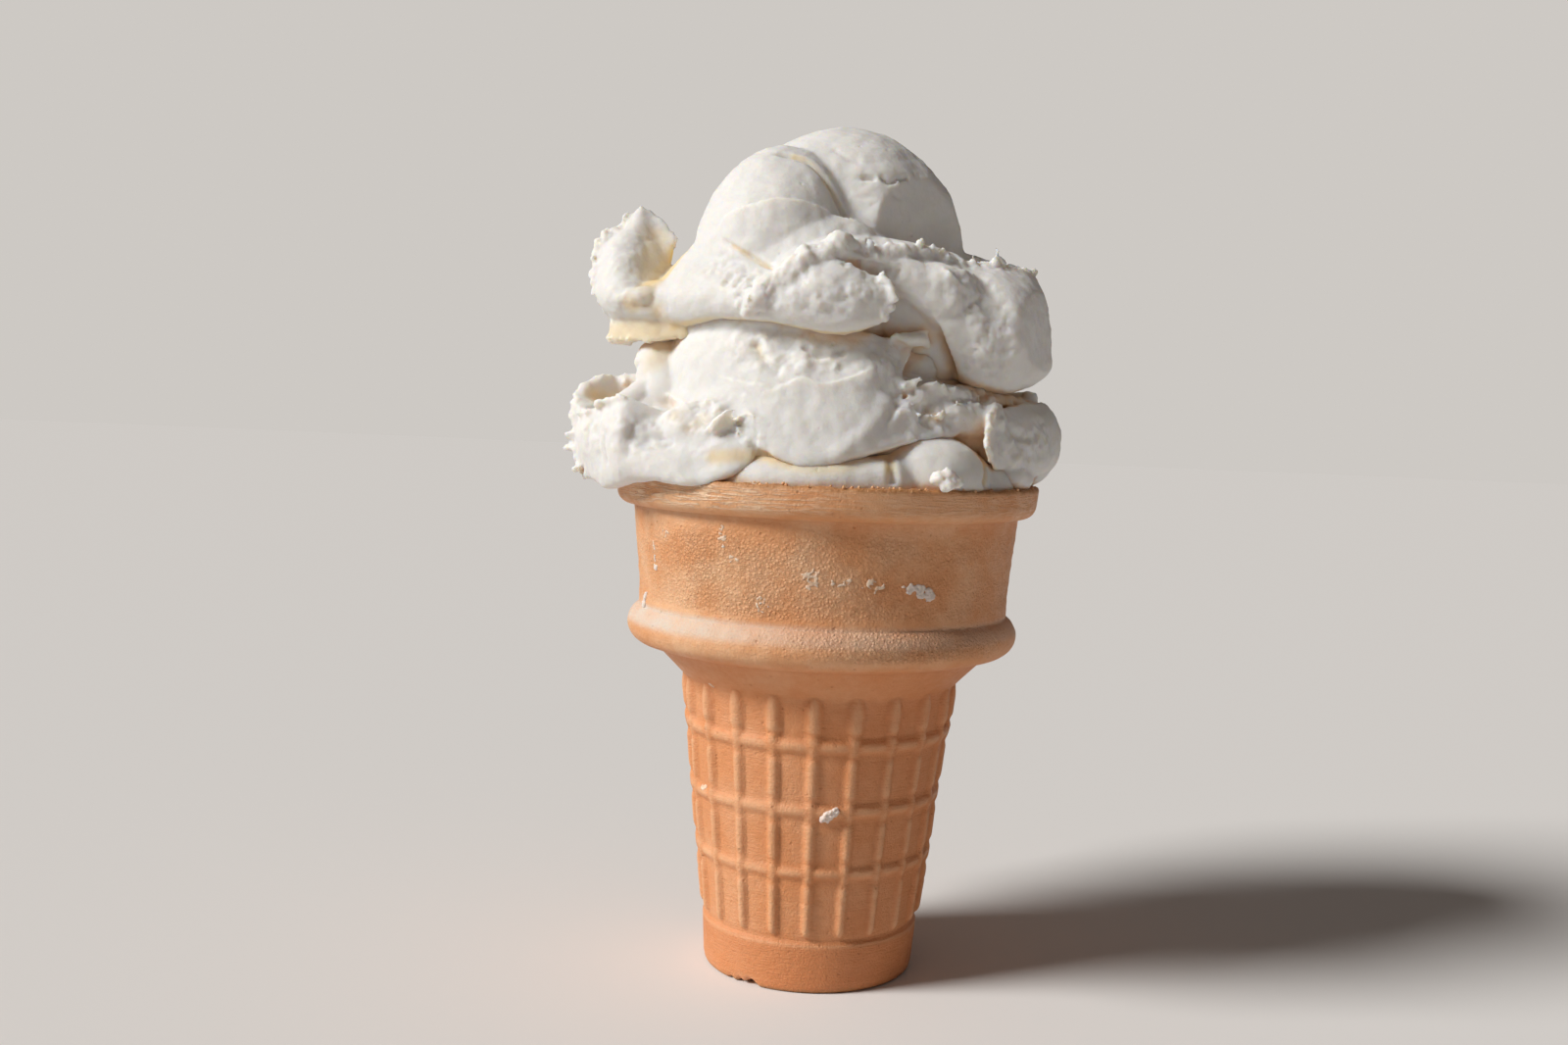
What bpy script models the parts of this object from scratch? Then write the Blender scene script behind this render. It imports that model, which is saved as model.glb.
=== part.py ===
"""Two scoops of vanilla ice cream in a flat-bottomed wafer cup, standing on its base.

Metres, +Z up.  The origin is the centre of the flat base, and the fullest side of the
filling faces -Y.  Angles round the cup are measured from that front, so +90 is +X.

Four sub-parts, each one closed solid:
  wafer_cup     thin moulded wafer: ribbed foot, funnel, bead, straight wall, flared rim
  cup_filling   the ice cream pressed down into the cup, bulging a little above the rim
  lower_scoop   the first full scoop, with the torn skirt that the disher leaves round it
  upper_scoop   the second scoop, with its own skirt, curled up on the left
"""
import math

import bmesh
import bpy
from mathutils import Matrix

MM = 0.001
GAP = 0.35 * MM                 # clearance between neighbouring solids

# ---------------------------------------------------------------- driving dimensions: wafer
CUP_HEIGHT = 77.8 * MM
WALL = 2.0 * MM                 # thickness of the wafer
BASE_THICKNESS = 2.4 * MM

BASE_RADIUS = 16.6 * MM
BASE_EDGE = 0.8 * MM            # rounding of the bottom edge
BASE_BAND_TOP = 7.6 * MM        # plain band below the ribs
BASE_BAND_RADIUS = 17.25 * MM

LATTICE_FOOT = 8.4 * MM         # where the ribs start
LATTICE_HEAD = 46.0 * MM        # where they end
LATTICE_FOOT_RADIUS = 16.95 * MM
LATTICE_HEAD_RADIUS = 21.7 * MM
RIB_HEIGHT = 0.75 * MM
RIB_WIDTH = 1.9 * MM
RIB_FLANK = 0.45 * MM           # how much of the width each sloping side takes
RIB_END = 0.9 * MM              # rounded end of an upright rib
UPRIGHT_RIBS = 21
FIRST_RIB = math.radians(-1.0)
CROSS_RIBS = (19.0 * MM, 28.7 * MM, 38.7 * MM)

FUNNEL_FOOT = (23.1 * MM, 46.8 * MM)      # radius, height
BEAD_CENTRE = (27.6 * MM, 54.4 * MM)      # the bead is an arc round this point
BEAD_RADIUS = 3.2 * MM
BEAD_ARC = (-50.0, 64.0)                  # degrees, from its underside to its crease
UPPER_WALL_FOOT = (29.15 * MM, 58.0 * MM)
UPPER_WALL_HEAD = (30.3 * MM, 72.7 * MM)
RIM_BAND_FOOT = (31.2 * MM, 73.5 * MM)
RIM_RADIUS = 33.4 * MM
RIM_EDGE = 0.5 * MM

RIB_SIDES = 4 * UPRIGHT_RIBS              # four columns of corners for each upright rib
WALL_SIDES = RIB_SIDES // 2

CHIP_ANGLE = math.radians(-31.0)          # small chip in the bottom edge
CHIP_SPREAD = math.radians(7.0)
CHIP_DEPTH = 0.9 * MM

# ------------------------------------------------------------- driving dimensions: ice cream
FILLING_SIDES = 36
FILLING_LEVEL = 79.0 * MM       # middle of its top, a little above the rim
FILLING_SHOULDER = 76.9 * MM    # where it leaves the wafer
# bulges on top of the filling: angle in degrees, distance from the axis, spread, height
FILLING_BULGES = ((30.0, 25.5, 5.2, 5.2), (-8.0, 22.0, 9.0, 1.6), (-60.0, 20.0, 8.0, 1.0))

SKIRT_STEP = 10.0               # degrees between two lumps of a skirt
SKIRT_OVERLAP = 0.75            # a lump's half length, as a share of the step's arc

# skirt stations: angle, outer reach, underside, top, radial thickness (degrees, then mm)
UPPER_SKIRT = (
    (-90.0, 38.0, 98.5, 114.5, 11.0),     # curled leaf on the left
    (-68.0, 35.0, 99.0, 112.5, 13.0),
    (-42.0, 29.5, 99.5, 112.0, 15.0),     # smooth roll, front left
    (-15.0, 27.5, 99.8, 111.0, 14.0),
    (2.0, 28.5, 100.0, 112.0, 14.0),      # middle flake
    (16.0, 27.0, 101.0, 112.5, 13.0),
    (30.0, 25.0, 98.0, 111.5, 12.0),      # recess
    (50.0, 29.5, 92.5, 110.5, 15.0),
    (75.0, 33.5, 91.8, 111.0, 17.0),      # heavy mass on the right
    (95.0, 34.5, 92.5, 110.5, 16.0),
    (125.0, 32.0, 95.5, 108.5, 14.0),
    (160.0, 29.5, 98.0, 108.5, 13.0),
    (200.0, 29.5, 98.5, 109.5, 12.0),
    (240.0, 33.0, 98.5, 111.5, 12.0),
    (270.0, 38.0, 98.5, 114.5, 11.0),
)
LOWER_SKIRT = (
    (-90.0, 40.0, 75.6, 92.0, 13.0),      # curl that hangs over the rim on the left
    (-68.0, 37.5, 75.6, 91.0, 13.0),
    (-45.0, 33.0, 77.8, 90.0, 13.0),
    (-20.0, 30.5, 79.6, 94.0, 14.0),
    (2.0, 29.5, 80.6, 97.0, 14.0),        # lip of the front
    (20.0, 27.5, 83.5, 96.0, 13.0),
    (38.0, 27.0, 84.0, 94.0, 12.0),
    (62.0, 34.0, 79.0, 91.5, 12.0),
    (85.0, 37.0, 78.4, 92.0, 13.0),       # lump on the right
    (110.0, 35.5, 78.6, 91.0, 13.0),
    (145.0, 32.0, 79.5, 90.0, 13.0),
    (180.0, 31.0, 79.0, 91.0, 13.0),
    (220.0, 33.0, 79.0, 90.5, 13.0),
    (250.0, 37.0, 77.0, 91.5, 13.0),
    (270.0, 40.0, 75.6, 92.0, 13.0),
)

# single lumps: angle, distance from the axis, height of the middle, (across, in, up) radii
UPPER_LUMPS = (
    (135.0, 2.2, 111.4, (18.6, 18.6, 21.8)),        # back of the dome, its highest part
    (-46.0, 8.6, 109.6, (15.0, 14.6, 19.2)),        # fold laid over its front left
    (-24.0, 11.6, 106.8, (17.0, 13.6, 11.2)),       # lower layer of that fold
    (80.0, 6.0, 104.0, (22.0, 20.0, 8.0)),          # shelf between the dome and the skirt
    (-90.0, 14.0, 104.5, (18.0, 16.0, 6.5)),
    (-92.0, 31.5, 114.5, (2.6, 3.6, 5.2)),          # tip of the curled leaf
    (-88.0, 31.0, 99.3, (6.5, 4.8, 1.9)),           # thin flake under the leaf
    (-24.0, 25.0, 106.5, (3.0, 3.6, 3.2)),          # torn crest of the middle flake
    (-14.0, 24.5, 110.0, (3.2, 3.6, 3.0)),
    (2.0, 23.0, 111.0, (4.0, 4.4, 2.8)),
    (18.0, 22.5, 110.6, (4.0, 4.4, 2.8)),
    (34.0, 23.0, 110.4, (4.0, 4.4, 2.6)),
    (66.0, 25.0, 109.6, (4.4, 4.8, 3.0)),
    (86.0, 29.5, 108.6, (4.4, 4.8, 3.2)),
)
LOWER_LUMPS = (
    (0.0, 0.0, 89.5, (27.0, 26.0, 12.0)),           # the body of the scoop
    (-22.0, 12.0, 91.0, (19.0, 16.8, 10.0)),        # front of its dome
    (-72.0, 15.5, 92.2, (13.0, 13.4, 7.4)),         # shoulder on the left
    (-88.0, 35.5, 89.5, (5.0, 4.0, 3.6)),           # crest of the left curl
    (-56.0, 28.5, 87.0, (6.0, 5.0, 4.2)),
    (22.0, 25.0, 91.5, (6.5, 4.6, 3.4)),            # torn flake, front right
    (50.0, 27.5, 86.5, (4.0, 5.6, 6.0)),            # ridge beside the right lump
)

# fineness of the ice cream solids
LUMP_SUBDIVISIONS = 3
VOXEL = 1.5 * MM
KEPT_FACES = {"lower_scoop": 0.15, "upper_scoop": 0.16}

# ------------------------------------------------------------------------------ colours
WAFER_COLOUR = (0.62, 0.29, 0.11, 1.0)
FILLING_COLOUR = (0.87, 0.83, 0.73, 1.0)
LOWER_COLOUR = (0.89, 0.85, 0.77, 1.0)
UPPER_COLOUR = (0.91, 0.88, 0.80, 1.0)


def clear_scene():
    for item in list(bpy.data.objects):
        bpy.data.objects.remove(item, do_unlink=True)


def make_material(name, colour, roughness):
    material = bpy.data.materials.new(name)
    material.use_nodes = True
    shader = material.node_tree.nodes["Principled BSDF"]
    shader.inputs["Base Color"].default_value = colour
    shader.inputs["Roughness"].default_value = roughness
    shader.inputs["Metallic"].default_value = 0.0
    return material


def make_object(name, bm, material=None):
    """Turn a bmesh into an object with outward faces."""
    bmesh.ops.recalc_face_normals(bm, faces=bm.faces)
    mesh = bpy.data.meshes.new(name)
    bm.to_mesh(mesh)
    bm.free()
    item = bpy.data.objects.new(name, mesh)
    bpy.context.scene.collection.objects.link(item)
    if material is not None:
        mesh.materials.append(material)
        mesh.shade_smooth()
        mesh.set_sharp_from_angle(angle=math.radians(40.0))
    return item


def around(angle, radius):
    """Place at an angle (radians) from the front and a distance from the axis."""
    return radius * math.sin(angle), -radius * math.cos(angle)


def add_ring(bm, radius, height, sides):
    """One level ring of corners; radius may be a number or a function of the angle."""
    ring = []
    for side in range(sides):
        angle = FIRST_RIB + 2.0 * math.pi * side / sides
        reach = radius(side, angle) if callable(radius) else radius
        x, y = around(angle, reach)
        ring.append(bm.verts.new((x, y, height)))
    return ring


def join_rings(bm, lower, upper):
    """Wall between two rings, of equal count or with twice as many corners below."""
    count = len(upper)
    if len(lower) == count:
        for side in range(count):
            after = (side + 1) % count
            bm.faces.new((lower[side], lower[after], upper[after], upper[side]))
        return
    for side in range(count):
        after = (side + 1) % count
        middle = lower[2 * side + 1]
        bm.faces.new((lower[2 * side], middle, upper[side]))
        bm.faces.new((middle, lower[(2 * side + 2) % len(lower)], upper[after], upper[side]))


def cap_ring(bm, ring, height):
    """Flat fan that closes a ring at its own height."""
    centre = bm.verts.new((0.0, 0.0, height))
    for side in range(len(ring)):
        bm.faces.new((centre, ring[side], ring[(side + 1) % len(ring)]))


def blend(start, end, share):
    return start + (end - start) * share


def smooth_bump(distance, spread):
    """1 at no distance, falling smoothly to nothing."""
    return math.exp(-(distance / spread) ** 2)


# ------------------------------------------------------------------------------ wafer cup
def lattice_floor(height):
    share = (height - LATTICE_FOOT) / (LATTICE_HEAD - LATTICE_FOOT)
    return blend(LATTICE_FOOT_RADIUS, LATTICE_HEAD_RADIUS, share)


def rib_columns(height):
    """Angles of the four corners of an upright rib, from its own middle."""
    half = 0.5 * RIB_WIDTH / lattice_floor(height)
    top = (0.5 * RIB_WIDTH - RIB_FLANK) / lattice_floor(height)
    return (-half, -top, top, half)


def add_lattice_ring(bm, height, uprights, crossing):
    """A ring through the ribs: uprights and crossing say how far each rib stands out."""
    ring = []
    floor = lattice_floor(height)
    for rib in range(UPRIGHT_RIBS):
        middle = FIRST_RIB + 2.0 * math.pi * rib / UPRIGHT_RIBS
        for corner, offset in enumerate(rib_columns(height)):
            on_top = corner in (1, 2)
            standing = max(uprights if on_top else 0.0, crossing)
            x, y = around(middle + offset, floor + RIB_HEIGHT * standing)
            ring.append(bm.verts.new((x, y, height)))
    return ring


def lattice_levels():
    """Heights of the rings through the ribs, with how far the two kinds stand out."""
    levels = [(LATTICE_FOOT, 0.0, 0.0), (LATTICE_FOOT + RIB_END, 1.0, 0.0)]
    for middle in CROSS_RIBS:
        levels.append((middle - 0.5 * RIB_WIDTH, 1.0, 0.0))
        levels.append((middle - 0.5 * RIB_WIDTH + RIB_FLANK, 1.0, 1.0))
        levels.append((middle + 0.5 * RIB_WIDTH - RIB_FLANK, 1.0, 1.0))
        levels.append((middle + 0.5 * RIB_WIDTH, 1.0, 0.0))
    levels.append((LATTICE_HEAD - RIB_END, 1.0, 0.0))
    levels.append((LATTICE_HEAD, 0.0, 0.0))
    return levels


def chipped_edge(side, angle):
    """Radius of the bottom edge, cut in a little at the chip."""
    return BASE_RADIUS - BASE_EDGE - CHIP_DEPTH * smooth_bump(angle - CHIP_ANGLE, CHIP_SPREAD)


def upper_outline():
    """Radius and height up the outside, from the funnel to the rim's top edge."""
    outline = [FUNNEL_FOOT]
    arc_steps = 6
    for step in range(arc_steps + 1):
        angle = math.radians(blend(BEAD_ARC[0], BEAD_ARC[1], step / arc_steps))
        outline.append((BEAD_CENTRE[0] + BEAD_RADIUS * math.cos(angle),
                        BEAD_CENTRE[1] + BEAD_RADIUS * math.sin(angle)))
    outline += [UPPER_WALL_FOOT, UPPER_WALL_HEAD, RIM_BAND_FOOT]
    outline += [(RIM_RADIUS, CUP_HEIGHT - RIM_EDGE), (RIM_RADIUS - RIM_EDGE, CUP_HEIGHT)]
    return outline


def inner_outline(inset):
    """Radius and height down the inside, from just under the rim to the floor."""
    thickness = WALL + inset
    return [
        (RIM_RADIUS - thickness, CUP_HEIGHT - RIM_EDGE),
        (UPPER_WALL_HEAD[0] - thickness, UPPER_WALL_HEAD[1] - WALL),
        (UPPER_WALL_FOOT[0] - thickness, UPPER_WALL_FOOT[1]),
        (BEAD_CENTRE[0] - inset, BEAD_CENTRE[1] - 0.5 * WALL),
        (LATTICE_HEAD_RADIUS - thickness, LATTICE_HEAD),
        (BASE_BAND_RADIUS - thickness, BASE_BAND_TOP),
        (BASE_RADIUS - thickness - inset, BASE_THICKNESS + inset),
    ]


def build_wafer_cup():
    bm = bmesh.new()
    rings = [add_ring(bm, chipped_edge, 0.0, RIB_SIDES)]
    cap_ring(bm, rings[0], 0.0)
    rings.append(add_ring(bm, BASE_RADIUS, BASE_EDGE, RIB_SIDES))
    rings.append(add_ring(bm, BASE_BAND_RADIUS, BASE_BAND_TOP, RIB_SIDES))
    for height, uprights, crossing in lattice_levels():
        rings.append(add_lattice_ring(bm, height, uprights, crossing))
    for radius, height in upper_outline():
        rings.append(add_ring(bm, radius, height, WALL_SIDES))
    for radius, height in inner_outline(0.0):
        rings.append(add_ring(bm, radius, height, WALL_SIDES))
    for lower, upper in zip(rings, rings[1:]):
        join_rings(bm, lower, upper)
    cap_ring(bm, rings[-1], BASE_THICKNESS)
    return make_object("wafer_cup", bm, make_material("wafer", WAFER_COLOUR, 0.62))


# ---------------------------------------------------------------------------- cup filling
def filling_top(x, y, reach):
    """Height of the filling's top at a place, falling to its shoulder at the wafer."""
    share = min(math.hypot(x, y) / reach, 1.0)
    height = blend(FILLING_LEVEL, FILLING_SHOULDER, share ** 6)
    for angle, distance, spread, rise in FILLING_BULGES:
        bulge_x, bulge_y = around(math.radians(angle), distance * MM)
        away = math.hypot(x - bulge_x, y - bulge_y)
        height += rise * MM * smooth_bump(away, spread * MM)
    return height


def build_cup_filling():
    bm = bmesh.new()
    side = inner_outline(GAP)[1:]
    rim_slope = (RIM_RADIUS - UPPER_WALL_HEAD[0]) / (CUP_HEIGHT - UPPER_WALL_HEAD[1] + WALL)
    rim_reach = side[0][0] + rim_slope * (FILLING_SHOULDER - side[0][1])
    rings = [add_ring(bm, rim_reach, FILLING_SHOULDER, FILLING_SIDES)]
    for radius, height in side:
        rings.append(add_ring(bm, radius, height, FILLING_SIDES))
    cap_ring(bm, rings[-1], side[-1][1])
    top_rings = [rings[0]]
    for share in (0.95, 0.86, 0.74, 0.6, 0.4):
        ring = add_ring(bm, rim_reach * share, 0.0, FILLING_SIDES)
        for corner in ring:
            corner.co.z = filling_top(corner.co.x, corner.co.y, rim_reach)
        top_rings.append(ring)
    for pair in list(zip(rings, rings[1:])) + list(zip(top_rings, top_rings[1:])):
        join_rings(bm, *pair)
    cap_ring(bm, top_rings[-1], FILLING_LEVEL)
    return make_object("cup_filling", bm, make_material("pressed ice cream", FILLING_COLOUR, 0.5))


# --------------------------------------------------------------------------------- scoops
def add_lump(bm, angle, distance, height, radii):
    """One rounded lump, turned to face out from the axis.  Degrees and millimetres."""
    turn = math.radians(angle)
    x, y = around(turn, distance * MM)
    place = Matrix.Translation((x, y, height * MM)) @ Matrix.Rotation(turn, 4, "Z")
    size = Matrix.Diagonal((radii[0] * MM, radii[1] * MM, radii[2] * MM, 1.0))
    bmesh.ops.create_icosphere(bm, subdivisions=LUMP_SUBDIVISIONS, radius=1.0,
                               matrix=place @ size)


def skirt_at(stations, angle):
    """Reach, underside, top and thickness of a skirt between its stations."""
    for before, after in zip(stations, stations[1:]):
        if before[0] <= angle <= after[0]:
            share = (angle - before[0]) / (after[0] - before[0])
            eased = share * share * (3.0 - 2.0 * share)
            return [blend(a, b, eased) for a, b in zip(before[1:], after[1:])]
    raise ValueError("angle outside the skirt")


def add_skirt(bm, stations):
    """The ring of overlapping lumps that the disher pushes out round a scoop."""
    for step in range(int(360.0 / SKIRT_STEP)):
        angle = stations[0][0] + step * SKIRT_STEP
        reach, underside, top, thickness = skirt_at(stations, angle)
        distance = reach - 0.5 * thickness
        along = SKIRT_OVERLAP * math.radians(SKIRT_STEP) * reach
        radii = (max(along, 0.35 * thickness), 0.5 * thickness, 0.5 * (top - underside))
        add_lump(bm, angle, distance, 0.5 * (top + underside), radii)


def build_scoop(name, lumps, skirt, material):
    """Lumps and skirt melted into one skin."""
    bm = bmesh.new()
    for angle, distance, height, radii in lumps:
        add_lump(bm, angle, distance, height, radii)
    add_skirt(bm, skirt)
    scoop = make_object(name, bm, material)
    melt = scoop.modifiers.new("melt together", "REMESH")
    melt.mode = "VOXEL"
    melt.voxel_size = VOXEL
    thin = scoop.modifiers.new("fewer faces", "DECIMATE")
    thin.ratio = KEPT_FACES[name]
    return scoop


def cut_clear(item, cutter):
    """Cut one solid back so that it stays clear of a neighbour."""
    cut = item.modifiers.new("clear of " + cutter.name, "BOOLEAN")
    cut.operation = "DIFFERENCE"
    cut.solver = "EXACT"
    cut.object = cutter
    cutter.hide_render = True
    cutter.display_type = "WIRE"


def swollen_copy(item, name):
    """A cutter: the same skin, pushed out by the clearance."""
    cutter = item.copy()
    cutter.data = item.data.copy()
    cutter.name = name
    bpy.context.scene.collection.objects.link(cutter)
    swell = cutter.modifiers.new("clearance", "DISPLACE")
    swell.mid_level = 0.0
    swell.strength = GAP
    return cutter


def build_cup_space():
    """A cutter: the room that the wafer takes up under its rim, with clearance."""
    bm = bmesh.new()
    reach = RIM_RADIUS + GAP
    rings = [add_ring(bm, UPPER_WALL_HEAD[0] + GAP, UPPER_WALL_HEAD[1] - 10.0 * MM, RIB_SIDES)]
    rings.append(add_ring(bm, UPPER_WALL_HEAD[0] + GAP, UPPER_WALL_HEAD[1], RIB_SIDES))
    rings.append(add_ring(bm, reach, CUP_HEIGHT - RIM_EDGE, RIB_SIDES))
    rings.append(add_ring(bm, reach, CUP_HEIGHT + GAP, RIB_SIDES))
    for lower, upper in zip(rings, rings[1:]):
        join_rings(bm, lower, upper)
    cap_ring(bm, rings[0], UPPER_WALL_HEAD[1] - 10.0 * MM)
    cap_ring(bm, rings[-1], CUP_HEIGHT + GAP)
    return make_object("cup_space", bm)


def main():
    clear_scene()
    build_wafer_cup()
    filling = build_cup_filling()
    lower = build_scoop("lower_scoop", LOWER_LUMPS, LOWER_SKIRT,
                        make_material("lower ice cream", LOWER_COLOUR, 0.48))
    upper = build_scoop("upper_scoop", UPPER_LUMPS, UPPER_SKIRT,
                        make_material("upper ice cream", UPPER_COLOUR, 0.45))
    cut_clear(upper, swollen_copy(lower, "lower_space"))
    cut_clear(lower, swollen_copy(filling, "filling_space"))
    cut_clear(lower, build_cup_space())


main()
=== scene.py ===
# %% [markdown]
# # Two scoops in a wafer cup
# A serving of vanilla ice cream: two scoops, each with the torn skirt that a disher leaves
# round it, pressed into a flat-bottomed moulded wafer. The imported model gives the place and
# size of the four parts. Each part is modelled again here with the fine surface that a
# collision model has no use for, in exactly the same place.

# %% Load the frame
import math

import bmesh
import bpy
import numpy as np
from mathutils import Matrix, Vector, noise
from mathutils.bvhtree import BVHTree


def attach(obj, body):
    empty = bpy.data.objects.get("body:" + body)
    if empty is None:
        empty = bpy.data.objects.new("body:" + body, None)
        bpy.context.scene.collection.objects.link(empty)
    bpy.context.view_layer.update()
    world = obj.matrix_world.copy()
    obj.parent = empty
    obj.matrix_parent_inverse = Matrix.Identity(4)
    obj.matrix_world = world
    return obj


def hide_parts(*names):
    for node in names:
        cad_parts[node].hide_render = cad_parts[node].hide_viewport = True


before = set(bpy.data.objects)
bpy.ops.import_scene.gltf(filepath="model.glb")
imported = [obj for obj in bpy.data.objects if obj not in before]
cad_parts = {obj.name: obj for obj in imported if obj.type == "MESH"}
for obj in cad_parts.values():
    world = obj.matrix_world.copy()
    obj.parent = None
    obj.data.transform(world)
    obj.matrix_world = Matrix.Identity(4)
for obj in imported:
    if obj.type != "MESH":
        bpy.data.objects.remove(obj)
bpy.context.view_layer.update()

MM = 0.001

# %% [markdown]
# ## Camera
# The camera stands a quarter of a metre in front of the cone, a little above the middle of
# the scoops, and looks down by less than four degrees. It is turned and rolled by hand-held
# amounts, so the cone stands just right of the middle and leans slightly.

# %% Camera
CAMERA_DISTANCE = 249.5 * MM
CAMERA_HEIGHT = 86.8 * MM
LOOK_DOWN = math.radians(3.75)
TURN_LEFT = math.radians(1.51)
ROLL = math.radians(2.37)

camera_data = bpy.data.cameras.new("camera")
camera_data.sensor_width = 36.0
camera_data.lens = 36.0
camera_data.clip_start = 0.01
camera = bpy.data.objects.new("camera", camera_data)
bpy.context.scene.collection.objects.link(camera)
aim = (Matrix.Rotation(TURN_LEFT, 4, "Z") @ Matrix.Rotation(math.pi / 2 - LOOK_DOWN, 4, "X")
       @ Matrix.Rotation(ROLL, 4, "Z"))
camera.matrix_world = Matrix.Translation((0.0, -CAMERA_DISTANCE, CAMERA_HEIGHT)) @ aim
bpy.context.scene.camera = camera
print("camera stands", round(CAMERA_DISTANCE / MM), "mm in front of the cone's axis")

# %% [markdown]
# ## Helpers for modelling
# Every piece starts from a primitive or a drawn outline and ends as one mesh at the origin.
# These helpers keep the steps that all pieces share in one place: what is selected, how a
# modifier is applied, and how a mesh's corners are read and moved all at once.

# %% Helpers
def select_only(*items):
    """Leave just these objects selected, the last one active."""
    if bpy.context.object is not None and bpy.context.object.mode != "OBJECT":
        bpy.ops.object.mode_set(mode="OBJECT")
    bpy.ops.object.select_all(action="DESELECT")
    for item in items:
        item.select_set(True)
    bpy.context.view_layer.objects.active = items[-1]


def apply_modifier(item, kind, **settings):
    """Add a modifier, set it up and apply it."""
    select_only(item)
    modifier = item.modifiers.new(kind.lower(), kind)
    for name, value in settings.items():
        setattr(modifier, name, value)
    bpy.ops.object.modifier_apply(modifier=modifier.name)


print("one helper selects, and one applies modifiers")

# %% Corners and noise
def corners_of(item):
    """The mesh's corners as an array of millimetres, one row each."""
    flat = np.empty(len(item.data.vertices) * 3, np.float32)
    item.data.vertices.foreach_get("co", flat)
    return flat.reshape(-1, 3).astype(float) / MM


def move_corners(item, places):
    """Put the mesh's corners at these places, in millimetres."""
    item.data.vertices.foreach_set("co", (places * MM).astype(np.float32).ravel())
    item.data.update()


def ease(value, low, high):
    """0 below low, 1 above high, and a smooth slope between."""
    share = np.clip((value - low) / (high - low), 0.0, 1.0)
    return share * share * (3.0 - 2.0 * share)


def wobble(places, size, seed=0):
    """Smooth noise between about -1 and 1 at each place, for bumps about size mm across."""
    offset = Vector((seed * 7.3, seed * 3.1, seed * 5.7))
    return np.array([noise.noise(Vector(place) / size + offset) for place in places])


def face_outwards(item):
    select_only(item)
    bpy.ops.object.mode_set(mode="EDIT")
    bpy.ops.mesh.select_all(action="SELECT")
    bpy.ops.mesh.normals_make_consistent(inside=False)
    bpy.ops.object.mode_set(mode="OBJECT")


def triangle_count(item):
    return sum(len(face.vertices) - 2 for face in item.data.polygons)


print("helpers are ready")

# %% [markdown]
# ## The wafer's outline
# A wafer cup is baked between two turned moulds, so its body is a solid of revolution. The
# outline runs from the middle of the base, up the outside and down the inside. Straight
# stretches get a corner every half millimetre, because the ribs and the grain need them.

# %% Draw the outline
BASE_RADIUS = 16.6
LATTICE_FOOT = (16.85, 8.3)
LATTICE_HEAD = (21.0, 44.9)
BEAD_CENTRE = (27.6, 54.4)
BEAD_RADIUS = 3.2
RIM_RADIUS = 33.3
CUP_HEIGHT = 77.8


def straight(start, end, step=0.5):
    """Places along a straight stretch, without its last one."""
    count = max(1, round(math.dist(start, end) / step))
    return [(start[0] + (end[0] - start[0]) * i / count, start[1] + (end[1] - start[1]) * i / count)
            for i in range(count)]


def arc(centre, radius, low, high, step=0.4):
    """Places along an arc, from one angle to another in degrees."""
    count = max(2, round(abs(math.radians(high - low)) * radius / step))
    angles = [math.radians(low + (high - low) * i / count) for i in range(count + 1)]
    return [(centre[0] + radius * math.cos(a), centre[1] + radius * math.sin(a)) for a in angles]


outline = straight((0.0, 0.0), (BASE_RADIUS - 0.8, 0.0), 2.5)
outline += arc((BASE_RADIUS - 0.8, 0.8), 0.8, -90, 0, 0.25)
outline += straight((16.75, 1.4), (17.2, 7.5))
outline += straight((17.2, 7.6), LATTICE_FOOT, 0.25)
outline += straight(LATTICE_FOOT, LATTICE_HEAD, 0.42)
outline += arc((23.0, 44.9), 1.95, 175, 135, 0.35)                   # the corner under the slope
outline += straight((21.9, 46.5), (25.8, 50.4))
outline += straight((26.1, 50.7), (28.6, 51.35))
outline += arc(BEAD_CENTRE, BEAD_RADIUS, -65, 62, 0.35)
outline += straight((29.15, 57.6), (29.15, 60.5))
outline += straight((29.15, 60.5), (30.3, 72.6))
outline += straight((30.32, 72.75), (30.75, 72.95), 0.25)
outline += arc((31.0, 75.0), 2.05, -88, -5, 0.3)                     # the rim's soft lower lip
outline += straight((33.08, 75.1), (RIM_RADIUS, CUP_HEIGHT - 0.5), 0.35)
outline += arc((RIM_RADIUS - 0.55, CUP_HEIGHT - 0.55), 0.55, 10, 150, 0.25)
outline += straight((31.7, 77.0), (28.2, 72.0), 0.8)
outline += straight((28.2, 72.0), (27.1, 57.0), 3.0)
outline += straight((27.1, 57.0), (19.5, 45.0), 3.0)
outline += straight((19.5, 45.0), (14.6, 3.0), 5.0)
outline += [(14.0, 2.4), (0.0, 2.4)]
print("the outline has", len(outline), "corners")

# %% [markdown]
# ## Spin the outline
# Spinning a chain of edges round an axis is the way to make anything that was turned. A
# lathe (screw) modifier would do the same, but the spin operator leaves a plain mesh at once.
# The doubled corners where the turn closes are merged, and then the faces are turned outwards.

# %% Spin the wafer
COLUMNS = 336


def spin_outline(name, outline, columns):
    mesh = bpy.data.meshes.new(name)
    corners = [(0.0, -radius * MM, height * MM) for radius, height in outline]
    mesh.from_pydata(corners, [(i, i + 1) for i in range(len(corners) - 1)], [])
    item = bpy.data.objects.new(name, mesh)
    bpy.context.scene.collection.objects.link(item)
    select_only(item)
    bpy.ops.object.mode_set(mode="EDIT")
    bpy.ops.mesh.select_all(action="SELECT")
    bpy.ops.mesh.spin(steps=columns, angle=2.0 * math.pi, center=(0, 0, 0), axis=(0, 0, 1))
    bpy.ops.mesh.select_all(action="SELECT")
    bpy.ops.mesh.remove_doubles(threshold=0.01 * MM)
    bpy.ops.object.mode_set(mode="OBJECT")
    face_outwards(item)
    return item


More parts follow.
